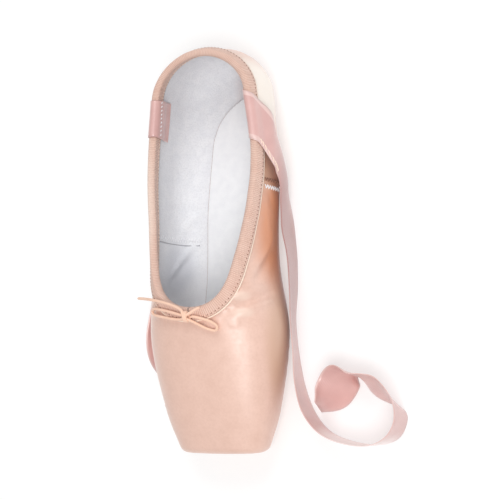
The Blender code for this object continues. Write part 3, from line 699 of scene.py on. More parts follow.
def piece(name, points, faces, looks, kinds=None, node=None, weave=None):
    """A smooth-shaded mesh that rides on the shoe, from points in millimetres."""
    mesh = bpy.data.meshes.new(name)
    mesh.from_pydata((np.asarray(points) * MM).tolist(), [], [list(map(int, face)) for face in faces])
    for look in looks:
        mesh.materials.append(look)
    if kinds is not None:
        mesh.polygons.foreach_set("material_index", np.asarray(kinds, np.int32))
    if weave is not None:
        corners = np.empty(len(mesh.loops), np.int32)
        mesh.loops.foreach_get("vertex_index", corners)
        layer = mesh.uv_layers.new(name=WEAVE)
        layer.data.foreach_set("uv", (np.asarray(weave) * MM)[corners].astype(np.float32).ravel())
    mesh.shade_smooth()
    mesh.update()
    made = bpy.data.objects.new(name, mesh)
    bpy.context.scene.collection.objects.link(made)
    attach(made, BODY)
    for one in [node] if isinstance(node, str) else node or ():
        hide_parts(one)
    return made


def grid_faces(rows, columns, wrap_rows=False, wrap_columns=False, flip=False):
    """Quads of a grid of rows and columns, joined back on itself where asked."""
    i = np.arange(rows if wrap_rows else rows - 1)
    j = np.arange(columns if wrap_columns else columns - 1)
    i, j = [a.ravel() for a in np.meshgrid(i, j, indexing="ij")]
    i1, j1 = (i + 1) % rows, (j + 1) % columns
    quads = np.stack([i * columns + j, i * columns + j1, i1 * columns + j1, i1 * columns + j], -1)
    return quads[:, ::-1] if flip else quads


def joined(parts):
    """The points and faces of several meshes as one."""
    points, faces, count = [], [], 0
    for some_points, some_faces in parts:
        faces += [[corner + count for corner in face] for face in some_faces]
        points.append(some_points)
        count += len(some_points)
    return np.concatenate(points), faces


def smooth_route(points, step):
    """Points about a step apart on a smooth curve through rows that start with x, y and z."""
    points = np.asarray(points, float)
    route = np.concatenate([2 * points[:1] - points[1:2], points, 2 * points[-1:] - points[-2:-1]])
    found = []
    for before, start, end, after in zip(route, route[1:], route[2:], route[3:]):
        count = max(1, round(float(np.linalg.norm(end[:3] - start[:3])) / step))
        s = (np.arange(count) / count)[:, None]
        found.append(
            start
            + (end - before) * (s * 0.5)
            + (before * 2 - start * 5 + end * 4 - after) * (s**2 * 0.5)
            + (start * 3 - before - end * 3 + after) * (s**3 * 0.5)
        )
    return np.concatenate([*found, points[-1:]])


def tube(line, radius, sides=10):
    """A round tube along a line, with rounded ends."""
    line = np.asarray(line, float)
    ahead = unit(np.gradient(line, axis=0))
    turned = [unit(np.cross(ahead[0], (0.2, 0.3, 0.9)))]
    for way in ahead[1:]:
        turned.append(unit(turned[-1] - way * (turned[-1] @ way)))
    turned = np.array(turned)
    beside = np.cross(ahead, turned)
    width = np.full(len(line), radius)
    width[[0, -1]] = 0.45 * radius
    width[[1, -2]] = 0.88 * radius
    angle = 2 * math.pi * np.arange(sides) / sides
    ring = turned[:, None] * np.cos(angle)[:, None] + beside[:, None] * np.sin(angle)[:, None]
    points = (line[:, None] + ring * width[:, None, None]).reshape(-1, 3)
    faces = grid_faces(len(line), sides, wrap_columns=True, flip=True).tolist()
    faces.append(list(range(sides))[::-1])
    faces.append(list(range(len(points) - sides, len(points))))
    return points, faces


def threads(lines, outs, radius, sides=6):
    """Many short threads of one make, each a rounded tube along its own line."""
    lines = np.asarray(lines, float)
    many, steps = lines.shape[:2]
    ahead = unit(np.gradient(lines, axis=1))
    across = unit(np.cross(ahead, np.broadcast_to(outs[:, None], lines.shape)))
    up = np.cross(across, ahead)
    run = 2 * np.arange(steps) / (steps - 1) - 1
    width = radius * np.sqrt(np.clip(1 - run**4, 0.12, 1))
    angle = 2 * math.pi * np.arange(sides) / sides
    cosine, sine = np.cos(angle)[:, None], np.sin(angle)[:, None]
    ring = across[:, :, None] * cosine + up[:, :, None] * sine
    points = (lines[:, :, None] + ring * width[:, None, None]).reshape(-1, 3)
    one = grid_faces(steps, sides, wrap_columns=True, flip=True).tolist()
    one.append(list(range(sides))[::-1])
    one.append(list(range((steps - 1) * sides, steps * sides)))
    faces = [[corner + k * steps * sides for corner in face] for k in range(many) for face in one]
    return points, faces


def arched(starts, ends, outs, rise, sink=0.15, steps=6):
    """Lines of stitches that dip in at both ends and stand up between them."""
    share = (np.arange(steps) / (steps - 1))[:, None]
    lift = (rise + sink) * np.sin(math.pi * share) ** 0.7 - sink
    return starts[:, None] * (1 - share) + ends[:, None] * share + outs[:, None] * lift


def sheet_of(grid, thick):
    """A thin sheet through a grid of points, with its own two faces and edges."""
    ahead = np.gradient(grid, axis=0)
    across = np.gradient(grid, axis=1)
    face = unit(np.cross(ahead, across)) * thick / 2
    rings = np.concatenate([grid + face, (grid - face)[:, ::-1]], 1)
    rows, columns = rings.shape[:2]
    faces = grid_faces(rows, columns, wrap_columns=True, flip=True).tolist()
    faces.append(list(range(columns))[::-1])
    faces.append(list(range((rows - 1) * columns, rows * columns)))
    return rings.reshape(-1, 3), faces


def weave_of(grid):
    """How far along and across a sheet each of its points lies, for both its faces."""
    along = run_along(grid[:, grid.shape[1] // 2])
    width = np.linalg.norm(grid[:, -1] - grid[:, 0], axis=1)
    share = np.linspace(-0.5, 0.5, grid.shape[1])
    front = np.stack(np.broadcast_arrays(along[:, None], width[:, None] * share), -1)
    return np.concatenate([front, front[:, ::-1]], 1).reshape(-1, 2)


def distance_to_line(points, line):
    """Distance of points from a run of straight stretches, and how far along it they lie, 0 to 1."""
    line = np.asarray(line, float)
    lengths = np.linalg.norm(np.diff(line, axis=0), axis=1)
    total = lengths.sum()
    best = np.full(len(points), 1e9)
    along = np.zeros(len(points))
    done = 0.0
    for start, end, length in zip(line, line[1:], lengths):
        way = end - start
        t = np.clip(((points - start) @ way) / length**2, 0, 1)
        away = np.linalg.norm(points - (start + t[:, None] * way), axis=1)
        nearer = away < best
        best = np.where(nearer, away, best)
        along = np.where(nearer, (done + t * length) / total, along)
        done += length
    return best, along


def creased(points, creases):
    """How far listed creases move points: a negative depth is a trough."""
    moved = np.zeros(len(points))
    for width, depth, line in creases:
        away, along = distance_to_line(points, line)
        taper = np.sin(np.clip(along, 0.02, 0.98) * math.pi) ** 0.6
        moved += depth * taper * np.exp(-((away / width) ** 2))
    return moved


def cloudy(points, size):
    """A smooth random value for each point, from -1 to 1, with spots of a size."""
    return np.array([noise.noise(Vector(point / size)) for point in points])


# The upper

PLATFORM_RINGS = 9
EDGE_STEPS = 7
BOX_STEPS = 56
THROAT_STEPS = 46
QUARTER_STEPS = 44
HEEL_STEPS = 34
FLAT_STEPS = 5
LOWER_STEPS = 22
UPPER_STEPS = 38


def collar_rows(throat, quarter, heel):
    """Stations and swings of rows from the throat back to the middle of the heel."""
    run = 1 - np.cos(math.pi / 2 * np.arange(throat + 1) / throat)
    waist = THROAT + THROAT_RUN
    at = np.concatenate(
        [
            THROAT + THROAT_RUN * run,
            waist + (HEEL_CENTRE - waist) * np.arange(1, quarter + 1) / quarter,
            np.full(heel, HEEL_CENTRE),
        ]
    )
    swing = np.concatenate([np.zeros(throat + quarter + 1), math.pi / 2 * np.arange(1, heel + 1) / heel])
    return at, swing


def upper_grid(side):
    """Points of half of the upper's outer face, with each one's station."""
    angle = math.pi / 2 * np.arange(EDGE_STEPS + 1) / EDGE_STEPS
    edge_at = PLATFORM_EDGE * (1 - np.cos(angle))
    edge_inset = PLATFORM_EDGE * (1 - np.sin(angle))
    box_at = PLATFORM_EDGE + (THROAT - PLATFORM_EDGE) * np.arange(1, BOX_STEPS + 1) / BOX_STEPS
    rear_at, rear_swing = collar_rows(THROAT_STEPS, QUARTER_STEPS, HEEL_STEPS)
    at = np.concatenate([np.zeros(PLATFORM_RINGS), edge_at, box_at, rear_at[1:]])
    swing = np.concatenate([np.zeros(len(at) - len(rear_swing) + 1), rear_swing[1:]])
    inset = np.zeros(len(at))
    inset[:PLATFORM_RINGS] = PLATFORM_EDGE
    inset[PLATFORM_RINGS : PLATFORM_RINGS + len(edge_inset)] = edge_inset
    squeeze = np.ones(len(at))
    squeeze[:PLATFORM_RINGS] = np.arange(PLATFORM_RINGS) / PLATFORM_RINGS

    top = np.where(at > THROAT, collar_turn(side, np.maximum(at, THROAT), swing), 1.0)
    flat = through(LAST, "flat_half", at)
    under = floor_of_upper(at)
    opening = rounded_end(at, OPEN_FRONT, OPEN_FRONT_ROUND, OPEN_BACK, OPEN_BACK_ROUND)
    start = through(SOLE_OPENING, "half_width", at) * opening
    t = np.arange(FLAT_STEPS) / FLAT_STEPS
    x = [start[:, None] + (flat - start)[:, None] * t]
    z = [np.repeat(under[:, None], FLAT_STEPS, 1)]
    for turn in (
        np.repeat((np.arange(LOWER_STEPS) / LOWER_STEPS - 1)[None], len(at), 0),
        top[:, None] * np.arange(UPPER_STEPS + 1) / UPPER_STEPS,
    ):
        more_x, more_z = section(at[:, None], turn)
        x.append(more_x)
        z.append(more_z)
    x, z = np.concatenate(x, 1), np.concatenate(z, 1)
    crown, wide = last_at(at, "crown", "half_width")
    middle, half_height = ((crown + under) / 2)[:, None], ((crown - under) / 2)[:, None]
    x *= (1 - inset / wide)[:, None] * squeeze[:, None]
    z = middle + (z - middle) * (1 - inset[:, None] / half_height) * squeeze[:, None]
    points = place(np.repeat(at[:, None], x.shape[1], 1), x, z, np.repeat(swing[:, None], x.shape[1], 1))
    points[..., 0] *= side
    return points, np.repeat(at[:, None], x.shape[1], 1)


def welded(points, faces, extra):
    """The mesh with its coincident points joined and its faces with repeated corners mended."""
    keys = np.round(points / 0.004).astype(np.int64)
    _, first, mapping = np.unique(keys, axis=0, return_index=True, return_inverse=True)
    mapping = mapping.ravel()
    kept = []
    for face in mapping[faces]:
        corners = [corner for k, corner in enumerate(face) if corner != face[k - 1]]
        if len(corners) > 2 and len(set(corners)) == len(corners):
            kept.append(corners)
    return points[first], kept, extra[first]


# Soft troughs and ridges in the satin and the lining: width, depth and line
SATIN_CREASES = (
    (2.2, 1.5, ((18, -38, 54.5), (22, -33.5, 53.5), (27, -30.5, 50), (32, -28, 45), (35.5, -25, 37))),
    (2.2, -1.5, ((25, -38, 51), (30, -35.3, 48.4), (34, -33, 43.8), (37, -30.5, 36), (38, -27, 28))),
    (2.4, 1.3, ((20.5, -44.5, 53), (29, -39.7, 48.3), (36, -35, 40), (39, -31, 30))),
    (1.4, 0.6, ((21, -46, 52), (24.5, -47.5, 50.4), (26.5, -44.5, 50.4))),
    (2.8, 1.1, ((31, -20, 45), (33.5, -13.7, 40), (35.5, -6, 33), (36, 2, 26))),
    (2.6, -1.1, ((33, -26, 44), (35.6, -18, 38), (36.5, -9, 30))),
    (3.4, 0.5, ((36, 22, 34), (36.8, 10, 31), (36.5, -2, 25))),
    (3.0, -0.5, ((35, 31, 38), (37, 26, 30), (37.6, 15, 22))),
    (2.2, -0.5, ((-20, -46, 53), (-27, -43, 49), (-34, -38, 42))),
    (2.4, 0.4, ((-22, -42, 53), (-29, -37, 48), (-35, -31, 40))),
    (3.0, 0.5, ((-36, 20, 36), (-36.5, 8, 30), (-36, -6, 26))),
    (2.6, -0.5, ((-35, 44, 38), (-36.5, 34, 30), (-37, 22, 24))),
    (3.0, 0.5, ((30, 88, 34), (31.5, 80, 26), (33, 70, 20))),
    (2.6, -0.5, ((-29, 92, 36), (-31.5, 82, 28), (-33, 72, 20))),
)
LINING_CREASES = (
    (1.9, 1.4, ((-24, 6, 8.5), (-27, 2, 10), (-30.7, -3, 12.6), (-33, -9.4, 17), (-34.4, -17.1, 24))),
    (2.6, -0.5, ((-26, 0, 9), (-31, -7, 13), (-33.5, -14, 18), (-34.5, -21, 24))),
    (1.7, 0.8, ((-19, 27, 9), (-22, 22.7, 9.9), (-28.9, 16.9, 12.3), (-31.5, 11.5, 14))),
    (2.4, 0.6, ((-25, 44, 11), (-30, 38, 17), (-32, 30, 24))),
    (6.0, -0.6, ((-34.5, -17.4, 27), (-34.3, -31, 12.5))),
    (2.2, 0.6, ((-21, -24, 8), (-27, -31, 14), (-30, -36, 22))),
    (2.4, 0.5, ((26, 60, 10), (29, 50, 16), (31, 38, 22))),
)
PUCKER_PITCH = 3.1
PUCKER_DEPTH = 0.34
PUCKER_REACH = 7.0
PLEAT_CENTRE_AT = 51.0
PLEATS = 30
PLEAT_DEPTH = 0.45
PLEAT_RISE = (-2, 3)
PLEAT_FADE = (8, 21.0)
COLLAR_AROUND = 420.0
SIDE_SEAM_AT = 150.0
SIDE_SEAM_RISE = (SIDE_SEAM_AT - 1.4, SIDE_SEAM_AT + 0.2)
SIDE_SEAM_FADE = (175.0, 200.0)
SEAM_STEP = 0.3
HEEL_SEAM_HALF = 0.9
HEEL_SEAM_DEPTH = 0.4
SOFT_RISE = (70.0, 110.0)
SATIN_WAVE = 0.16
LINING_WAVE = 0.2


def seamed(points, at):
    """How far the seams, the puckers below the binding and the pleats under the toe move points."""
    edge, _, _ = collar_line(30, 16, 12)
    away, along = distance_to_line(points, np.concatenate([edge, edge[:1]]))
    run = 2 * math.pi * along * COLLAR_AROUND / PUCKER_PITCH
    puckers = np.sin(run + 1.5 * np.sin(run * 0.37)) * np.exp(-((away - BINDING_DROP) / PUCKER_REACH) ** 2)
    moved = PUCKER_DEPTH * puckers * ease(BINDING_DROP, BINDING_DROP + 1, away)

    level = through(LAST, "wide_height", at)
    x, ahead = points[:, 0], PLEAT_CENTRE_AT - at
    sole = through(OUTSOLE, "half_width", np.maximum(at, OUTSOLE_FRONT))
    beyond = np.hypot(x, ahead) - sole
    rise, fade = ease(*PLEAT_RISE, beyond), 1 - ease(*PLEAT_FADE, beyond)
    pleats = np.cos(PLEATS * np.arctan2(x, ahead)) * rise * fade
    under_toe = (ahead > -12) & (points[:, 2] < level - 4)
    moved -= PLEAT_DEPTH * (0.5 + 0.5 * pleats) * rise * fade * under_toe

    side = ease(*SIDE_SEAM_RISE, at) * (1 - ease(*SIDE_SEAM_FADE, at))
    moved -= SEAM_STEP * side
    back = np.exp(-((x / HEEL_SEAM_HALF) ** 2)) * (points[:, 1] > HEEL_CENTRE - MIDDLE)
    return moved - HEEL_SEAM_DEPTH * back


def make_upper():
    """The upper: satin outside, lining inside, one wall open at the collar and under the foot."""
    points, stations, faces = [], [], []
    for side in (-1, 1):
        grid, at = upper_grid(side)
        quads = grid_faces(*grid.shape[:2], flip=side > 0)
        faces.append(quads + sum(len(part) for part in points))
        points.append(grid.reshape(-1, 3))
        stations.append(at.ravel())
    points, faces, at = welded(np.concatenate(points), np.concatenate(faces), np.concatenate(stations))
    out = normals_of(points, faces)
    inner = points - out * wall(at)[:, None]

    outer_move = creased(points, SATIN_CREASES) + seamed(points, at)
    inner_move = -creased(inner, LINING_CREASES)
    soft = ease(*SOFT_RISE, at)
    outer_move += SATIN_WAVE * (0.3 + soft) * cloudy(points, 14.0)
    inner_move += LINING_WAVE * soft * cloudy(inner, 11.0)
    outer = points + out * outer_move[:, None]
    inner = inner + out * inner_move[:, None]
    outer += slump(outer)
    inner += slump(inner)

    count = len(points)
    sides = dict.fromkeys(pair for face in faces for pair in zip(face, face[1:] + face[:1]))
    rim = [(a, b) for a, b in sides if (b, a) not in sides]
    all_faces = faces + [[corner + count for corner in reversed(face)] for face in faces]
    all_faces += [[b, a, a + count, b + count] for a, b in rim]
    kinds = [0] * len(faces) + [1] * len(faces) + [0] * len(rim)
    piece("upper_cloth", np.concatenate([outer, inner]), all_faces, [SATIN, LINING], kinds, "upper")


# The collar's binding

BINDING_THROAT = 60
BINDING_QUARTER = 40
BINDING_HEEL = 26
BINDING_LEG_STEPS = 6
BINDING_ROLL_STEPS = 10
BINDING_BULGE = 0.12


def collar_line(throat, quarter, heel):
    """The collar's edge from the throat round to the left and back, with its ways down and out."""
    at, swing = collar_rows(throat, quarter, heel)
    right = skin(at, collar_turn(1, at, swing), swing)
    left = skin(at, collar_turn(-1, at, swing), swing) * (-1, 1, 1)
    edge = np.concatenate([right, left[-2:0:-1]])
    along = unit(np.roll(edge, -1, 0) - np.roll(edge, 1, 0))
    out = outward(edge)
    return edge, unit(np.cross(along, out)), out


def hang(edge, down, out, depth, offset):
    """Points at a depth below the collar's edge and an offset out of the upper's face."""
    if depth <= 0:
        return edge + down * depth + out * offset
    found = skin_under(edge + down * depth)
    return found + outward(found) * offset


def make_binding():
    """The tape that folds over the collar's edge, outside and inside."""
    edge, down, out = collar_line(BINDING_THROAT, BINDING_QUARTER, BINDING_HEEL)
    inner = -wall(edge[:, 1] + MIDDLE)[:, None]
    near, far = FOLD_GAP, FOLD_GAP + BINDING_THICK
    legs = range(BINDING_LEG_STEPS + 1)
    share = [k / BINDING_LEG_STEPS for k in legs]
    bulge = [BINDING_BULGE * math.sin(math.pi * k / BINDING_LEG_STEPS) for k in legs]
    profile = [(BINDING_DROP * (1 - s), far + b, 0) for s, b in zip(share, bulge)]
    for angle in [math.pi * k / BINDING_ROLL_STEPS for k in range(1, BINDING_ROLL_STEPS)]:
        cosine = math.cos(angle)
        profile.append((-BINDING_ROLL * math.sin(angle), far * cosine, 0.5 - 0.5 * cosine))
    profile += [(BINDING_DROP * s, -far - b, 1) for s, b in zip(share, bulge)]
    profile += [(BINDING_DROP, -near, 1), (BINDING_DROP / 2, -near, 1), (-near, -near, 1)]
    profile += [(-near, near, 0), (BINDING_DROP / 2, near, 0), (BINDING_DROP, near, 0)]
    rings = [hang(edge, down, out, depth, offset + inner * inside) for depth, offset, inside in profile]
    points = np.stack(rings, 1).reshape(-1, 3)
    points = points + slump(points)
    faces = grid_faces(len(edge), len(profile), wrap_rows=True, wrap_columns=True, flip=True)
    weave = np.stack(np.broadcast_arrays(run_along(edge)[:, None], np.arange(len(profile))), -1)
    weave = weave.reshape(-1, 2)
    piece("binding_tape", points, faces, [TAPE], node="collar_binding", weave=weave)


SEAM_PITCH = 2.1
SEAM_START = 0.4
SEAM_ABOVE_EDGE = 1.2
SEAM_PROUD = 0.06
SEAM_RISE = 0.12
OUTSIDE_STITCH = 1.0
OUTSIDE_THREAD = 0.2
INSIDE_STITCH = 1.3
INSIDE_THREAD = 0.18
INSIDE_SEAM_BEHIND = 12.0
PIPING = 0.45
PIPING_OUT = 0.95
PIPING_STEP = 0.9


def make_binding_seams():
    """The piped edge under the tape, and the rows of stitches along both its edges."""
    edge, down, out = collar_line(BINDING_THROAT, BINDING_QUARTER, BINDING_HEEL)
    closed = [np.concatenate([part, part[:2]]) for part in (edge, down, out)]
    along = run_along(closed[0])

    def at_places(places, depth, offset):
        edge, down, out = (
            np.stack([np.interp(places, along, part[:, k]) for k in range(3)], -1) for part in closed
        )
        points = hang(edge, unit(down), unit(out), depth, offset)
        return points + slump(points), unit(out)

    total = along[-2]
    line, _ = at_places(np.arange(0, total + 1.0, PIPING_STEP), BINDING_DROP + PIPING, PIPING_OUT)
    piece("binding_piping", *tube(line, PIPING, 8), [THREAD])

    places = np.arange(SEAM_START, total, SEAM_PITCH)
    level = BINDING_DROP - SEAM_ABOVE_EDGE
    face = FOLD_GAP + BINDING_THICK + SEAM_PROUD
    starts, outs = at_places(places, level, face)
    ends, _ = at_places(places + OUTSIDE_STITCH, level, face)
    # These outside stitches are dark: painted shade of their stitch holes.
    stitches = threads(arched(starts, ends, outs, SEAM_RISE), outs, OUTSIDE_THREAD)
    piece("binding_stitches_outside", *stitches, [DARK_THREAD_AND_HOLE_SHADE])
    starts, outs = at_places(places, level, -WALL_QUARTER - face)
    ends, _ = at_places(places + INSIDE_STITCH, level, -WALL_QUARTER - face)
    behind = starts[:, 1] > THROAT + INSIDE_SEAM_BEHIND - MIDDLE
    starts, ends, outs = starts[behind], ends[behind], -outs[behind]
    stitches = threads(arched(starts, ends, outs, SEAM_RISE), outs, INSIDE_THREAD)
    piece("binding_stitches_inside", *stitches, [THREAD])


# Seams of the upper and its lining

ZIGZAG_PITCH = 2.5
ZIGZAG_TOP = 34.5
ZIGZAG_FOOT = 6.5
ZIGZAG_BELOW_COLLAR = 2.2
ZIGZAG_PROUD = 0.15
ZIGZAG_RISE = 0.22
# Each row's name, its near and far edge behind the side seam, and its thread
ZIGZAG_ROWS = (("white", -3.4, -0.9, WHITE_THREAD), ("dark", 0.9, 3.1, DARK_THREAD_AND_HOLE_SHADE))
SIDE_THREAD = 0.3
LINING_THREAD = 0.2
LINING_ZIGZAG = (1.6, 4.4)
LINING_TURNS = (0.34, -1, 34)
LINING_SEAM_AT = 121.0
LINING_SEAM_PROUD = 0.02
LINING_SEAM = 0.3


def zigzag(points, outs, radius):
    """A zigzag row of threads through points that lie to and fro."""
    middle = unit(outs[:-1] + outs[1:])
    return threads(arched(points[:-1], points[1:], middle, ZIGZAG_RISE), middle, radius)


def make_zigzags():
    """The zigzag rows down the side seams, outside and in the lining."""
    heights = np.arange(ZIGZAG_TOP, ZIGZAG_FOOT, -ZIGZAG_PITCH / 2)
    odd = np.arange(len(heights)) % 2
    for name, front, back, thread in ZIGZAG_ROWS:
        way = SIDE_SEAM_AT + np.where(odd, front, back)
        parts = []
        for side in (-1, 1):
            top = through(COLLAR, "left" if side < 0 else "right", way) - ZIGZAG_BELOW_COLLAR
            turn = turn_at(way, np.minimum(heights, top))
            parts.append(zigzag(*on_wall(side, way, turn, ZIGZAG_PROUD), SIDE_THREAD))
        piece(f"side_zigzag_{name}", *joined(parts), [thread])

    turns = np.linspace(*LINING_TURNS)
    way = LINING_SEAM_AT + np.where(np.arange(len(turns)) % 2, *LINING_ZIGZAG)
    zigzags, seams = [], []
    for side in (-1, 1):
        zigzags.append(zigzag(*inner_wall(side, way, turns, ZIGZAG_PROUD), LINING_THREAD))
        # The grey line along the seam is painted shade under the seam's ledge.
        line, _ = inner_wall(side, LINING_SEAM_AT + 0 * turns, turns, LINING_SEAM_PROUD)
        seams.append(tube(line, LINING_SEAM, 8))
    piece("lining_zigzag", *joined(zigzags), [WHITE_THREAD])
    piece("lining_seam", *joined(seams), [SEAM_SHADE])


# The sole and the insole

OUTSOLE_ROWS = 300
OUTSOLE_EDGE = 0.45
OUTSOLE_TIP = 0.02
PINK_PITCH = 2.6
PINK_DEPTH = 0.35
PINK_RISE = (0.6, 0.95)
INSOLE_ROWS = 130
INSOLE_EDGE = 0.35
SOCK_WAVE = 0.15


def slab(at, left, right, low, thick, edge, columns=10):
    """A plate between two edges, with its lower face at a level that follows the shoe."""
    y = at - MIDDLE
    share = np.arange(columns) / (columns - 1)
    top, round_off = low + thick, 0.3 * edge
    flat = right - left - 2 * edge
    spots = [(left + edge + flat * s, low) for s in share]
    spots += [(right - round_off, low + round_off), (right, low + edge)]
    spots += [(right, top - edge), (right - round_off, top - round_off)]
    spots += [(right - edge - flat * s, top) for s in share]
    spots += [(left + round_off, top - round_off), (left, top - edge)]
    spots += [(left, low + edge), (left + round_off, low + round_off)]
    grid = np.stack([np.stack(np.broadcast_arrays(x, y, z), -1) for x, z in spots], 1)
    rows, around = grid.shape[:2]
    faces = grid_faces(rows, around, wrap_columns=True).tolist()
    columns_of = [face[0] % around for face in faces]
    edges = [columns - 1 <= column < columns + 3 or column >= 2 * columns + 3 for column in columns_of]
    faces.append(list(range(around)))
    faces.append(list(range((rows - 1) * around, rows * around))[::-1])
    return grid.reshape(-1, 3), faces, np.array([*edges, True, True], int)


def make_outsole():
    """The thin leather outsole, with its pinked edge."""
    share = np.linspace(0, 1, OUTSOLE_ROWS)
    share = 0.35 * (1 - np.cos(math.pi * share)) / 2 + 0.65 * share
    at = OUTSOLE_FRONT + OUTSOLE_TIP + (OUTSOLE_BACK - OUTSOLE_FRONT - 2 * OUTSOLE_TIP) * share
    ends = rounded_end(at, OUTSOLE_FRONT, OUTSOLE_FRONT_ROUND, OUTSOLE_BACK, OUTSOLE_BACK_ROUND)
    half = through(OUTSOLE, "half_width", at) * ends
    half = half - PINK_DEPTH * np.abs(2 * ((at / PINK_PITCH) % 1) - 1) * ease(*PINK_RISE, ends)
    points, faces, edges = slab(at, -half, half, through(UNDERSIDE, "lift", at), OUTSOLE_THICK, OUTSOLE_EDGE)
    piece("outsole_leather", points, faces, [LEATHER, LEATHER_EDGE], edges, "outsole")


def make_insole():
    """The insole: a board with a cloth sock over it."""
    at = np.linspace(INSOLE[0].at, INSOLE[-1].at, INSOLE_ROWS)
    left, right = through(INSOLE, "left", at), through(INSOLE, "right", at)
    low = floor_of_upper(at) + wall(at) + INSOLE_GAP
    points, faces, edges = slab(at, left, right, low, INSOLE_THICK, INSOLE_EDGE, 16)
    points[:, 2] += SOCK_WAVE * cloudy(points, 16.0)
    # The edge faces are the board's own tone, darkened as painted shade of the gap beside the insole.
    piece("insole_sock", points, faces, [SOCK, BOARD_AND_GAP_SHADE], edges, "insole")


# The drawstring's bow

CORD_STEP = 0.8


def over_vamp(lays):
    """Points at lifts above the vamp's binding, over places on the shoe's top."""
    x, y, lift = np.array(lays, float).T
    at = y + MIDDLE
    wide, level, crown, power = last_at(at, "half_width", "wide_height", "crown", "power")
    inside = np.maximum(1 - (np.abs(x) / wide) ** power, 0)
    height = level + (crown - level) * inside ** (1 / power)
    return np.stack([x, y, height + FOLD_GAP + BINDING_THICK + lift], -1)


def cord(name, lays, nodes):
    """A soft cord of the drawstring, made as a tube along the route that it follows."""
    route = smooth_route(over_vamp(lays), CORD_STEP)
    made = piece(name, *tube(route, CORD / 2, 12), [CORD_LOOK], node=nodes)
    return made


def make_bow():
    """The bow: two cords, and the turn of cord that holds them together."""
    cord("bow_cord_first", FIRST_CORD, ("drawstring_loop_left", "drawstring_end_right"))
    cord("bow_cord_second", SECOND_CORD, ("drawstring_loop_right", "drawstring_end_left"))
    centre = over_vamp([KNOT_WRAP])[0]
    across, ahead, high = KNOT_WRAP_HALF
    angle = np.linspace(0, 2 * math.pi * KNOT_TURNS, 60)
    drift = np.linspace(-KNOT_DRIFT, KNOT_DRIFT, len(angle))
    wrap = [drift * across * 0.8, ahead * 0.75 * np.cos(angle), high * 0.8 * np.sin(angle)]
    line = centre + np.stack(wrap, -1)
    piece("bow_knot", *tube(line, CORD * KNOT_CORD, 12), [CORD_LOOK], node="drawstring_knot")


# The ribbons

RIBBON_COLUMNS = 15
RIBBON_STEP = 1.4
SEWN_ROWS = 30
BLEND_ROWS = 6
BLEND_ROUNDS = 4
SEWN_STITCHES = 9
SEWN_STEP = 0.7
SEWN_RISE = 0.3
SEWN_THREAD = 0.27
TAB_STITCH_ROWS = (15.0, 13.6)
TAB_STITCH_COLUMNS = (0.4, 12.2)
TAB_STITCH_OVER = 0.9
EDGE_STITCH_ROWS = (24.0, 38.0)
EDGE_STITCH_COLUMN = 12.3
EDGE_STITCH_OVER = 1.2
CURL = 0.85
CURL_RUN = (2.0, 12.0, 30.0, 52.0)
RIPPLE = 0.22


def sewn_end(side, middle, slant, shares):
    """A ribbon's rows where it is sewn inside the collar and comes over the edge."""
    run = np.linspace(OVER_EDGE[0].at, OVER_EDGE[-1].at, SEWN_ROWS)[:, None]
    at = middle - shares * RIBBON_WIDTH / math.cos(slant) - run * math.tan(slant)
    swing = np.maximum(at - HEEL_CENTRE, 0.0) / HEEL_RADIUS
    at = np.minimum(at, HEEL_CENTRE)
    edge = skin(at, collar_turn(side, at, swing), swing)
    out = outward(edge)
    down = unit(out * out[..., 2:] - (0, 0, 1))
    columns = ("depth", "offset", "inner")
    depth, offset, inner = (through(OVER_EDGE, column, run)[..., None] for column in columns)
    offset = offset - wall(at)[..., None] * inner
    level = edge + down * depth
    found = skin_under(level)
    points = np.where(depth > 0, found + outward(found) * offset, level + out * offset)
    points[..., 0] *= side
    return points + slump(points)


def fall(side, folds, slant, shares):
    """A ribbon's rows down the quarter and along the floor."""
    rows = smooth_route(folds, RIBBON_STEP)
    centre, across = rows[:, :3], rows[:, 3:]
    ahead = unit(np.gradient(centre, axis=0))
    across = unit(across - ahead * (across * ahead).sum(-1, keepdims=True))
    length = run_along(centre)
    slanted = ahead * (slant * np.maximum(1 - length / FALL_SQUARE, 0.0))[:, None]
    out = np.cross(across, ahead) * side
    start, full, ending, ended = CURL_RUN
    bend = CURL * ease(start, full, length) * (1 - ease(ending, ended, length))
    bend = np.maximum(bend, 1e-3)[:, None]
    sideways = np.sin(bend * shares) / bend * RIBBON_WIDTH
    back = (np.cos(bend * shares) - 1) / bend * RIBBON_WIDTH
    grid = centre[:, None] + across[:, None] * sideways[..., None] + out[:, None] * back[..., None]
    grid += slanted[:, None] * (shares * RIBBON_WIDTH)[None, :, None]
    waves = cloudy(grid.reshape(-1, 3), 13.0).reshape(grid.shape[:2]) * RIPPLE
    grid += out[:, None] * (waves * ease(10, 30, length)[:, None])[..., None]
    lift = np.maximum(RIBBON_CLEAR - grid[..., 2].min(1), 0.0)
    grid[..., 2] += lift[:, None]
    return grid


def on_sheet(grid, row, column):
    """Points of a sheet at places between its rows and columns."""
    low, left = np.floor(row).astype(int), np.floor(column).astype(int)
    down, over = (row - low)[:, None], (column - left)[:, None]
    near = grid[low, left] * (1 - over) + grid[low, left + 1] * over
    far = grid[low + 1, left] * (1 - over) + grid[low + 1, left + 1] * over
    return near * (1 - down) + far * down


def make_stitches(name, side, grid, starts, ends):
    """Hand stitches on a ribbon, each between two places on its sheet."""
    along = on_sheet(grid, starts[0] + 1, starts[1]) - on_sheet(grid, starts[0], starts[1])
    over = on_sheet(grid, starts[0], starts[1] + 0.5) - on_sheet(grid, starts[0], starts[1])
    outs = -side * unit(np.cross(along, over))
    lift = outs * RIBBON_THICK / 2
    lines = arched(on_sheet(grid, *starts) + lift, on_sheet(grid, *ends) + lift, outs, SEWN_RISE)
    piece(name, *threads(lines, outs, SEWN_THREAD), [WHITE_THREAD if side < 0 else THREAD])


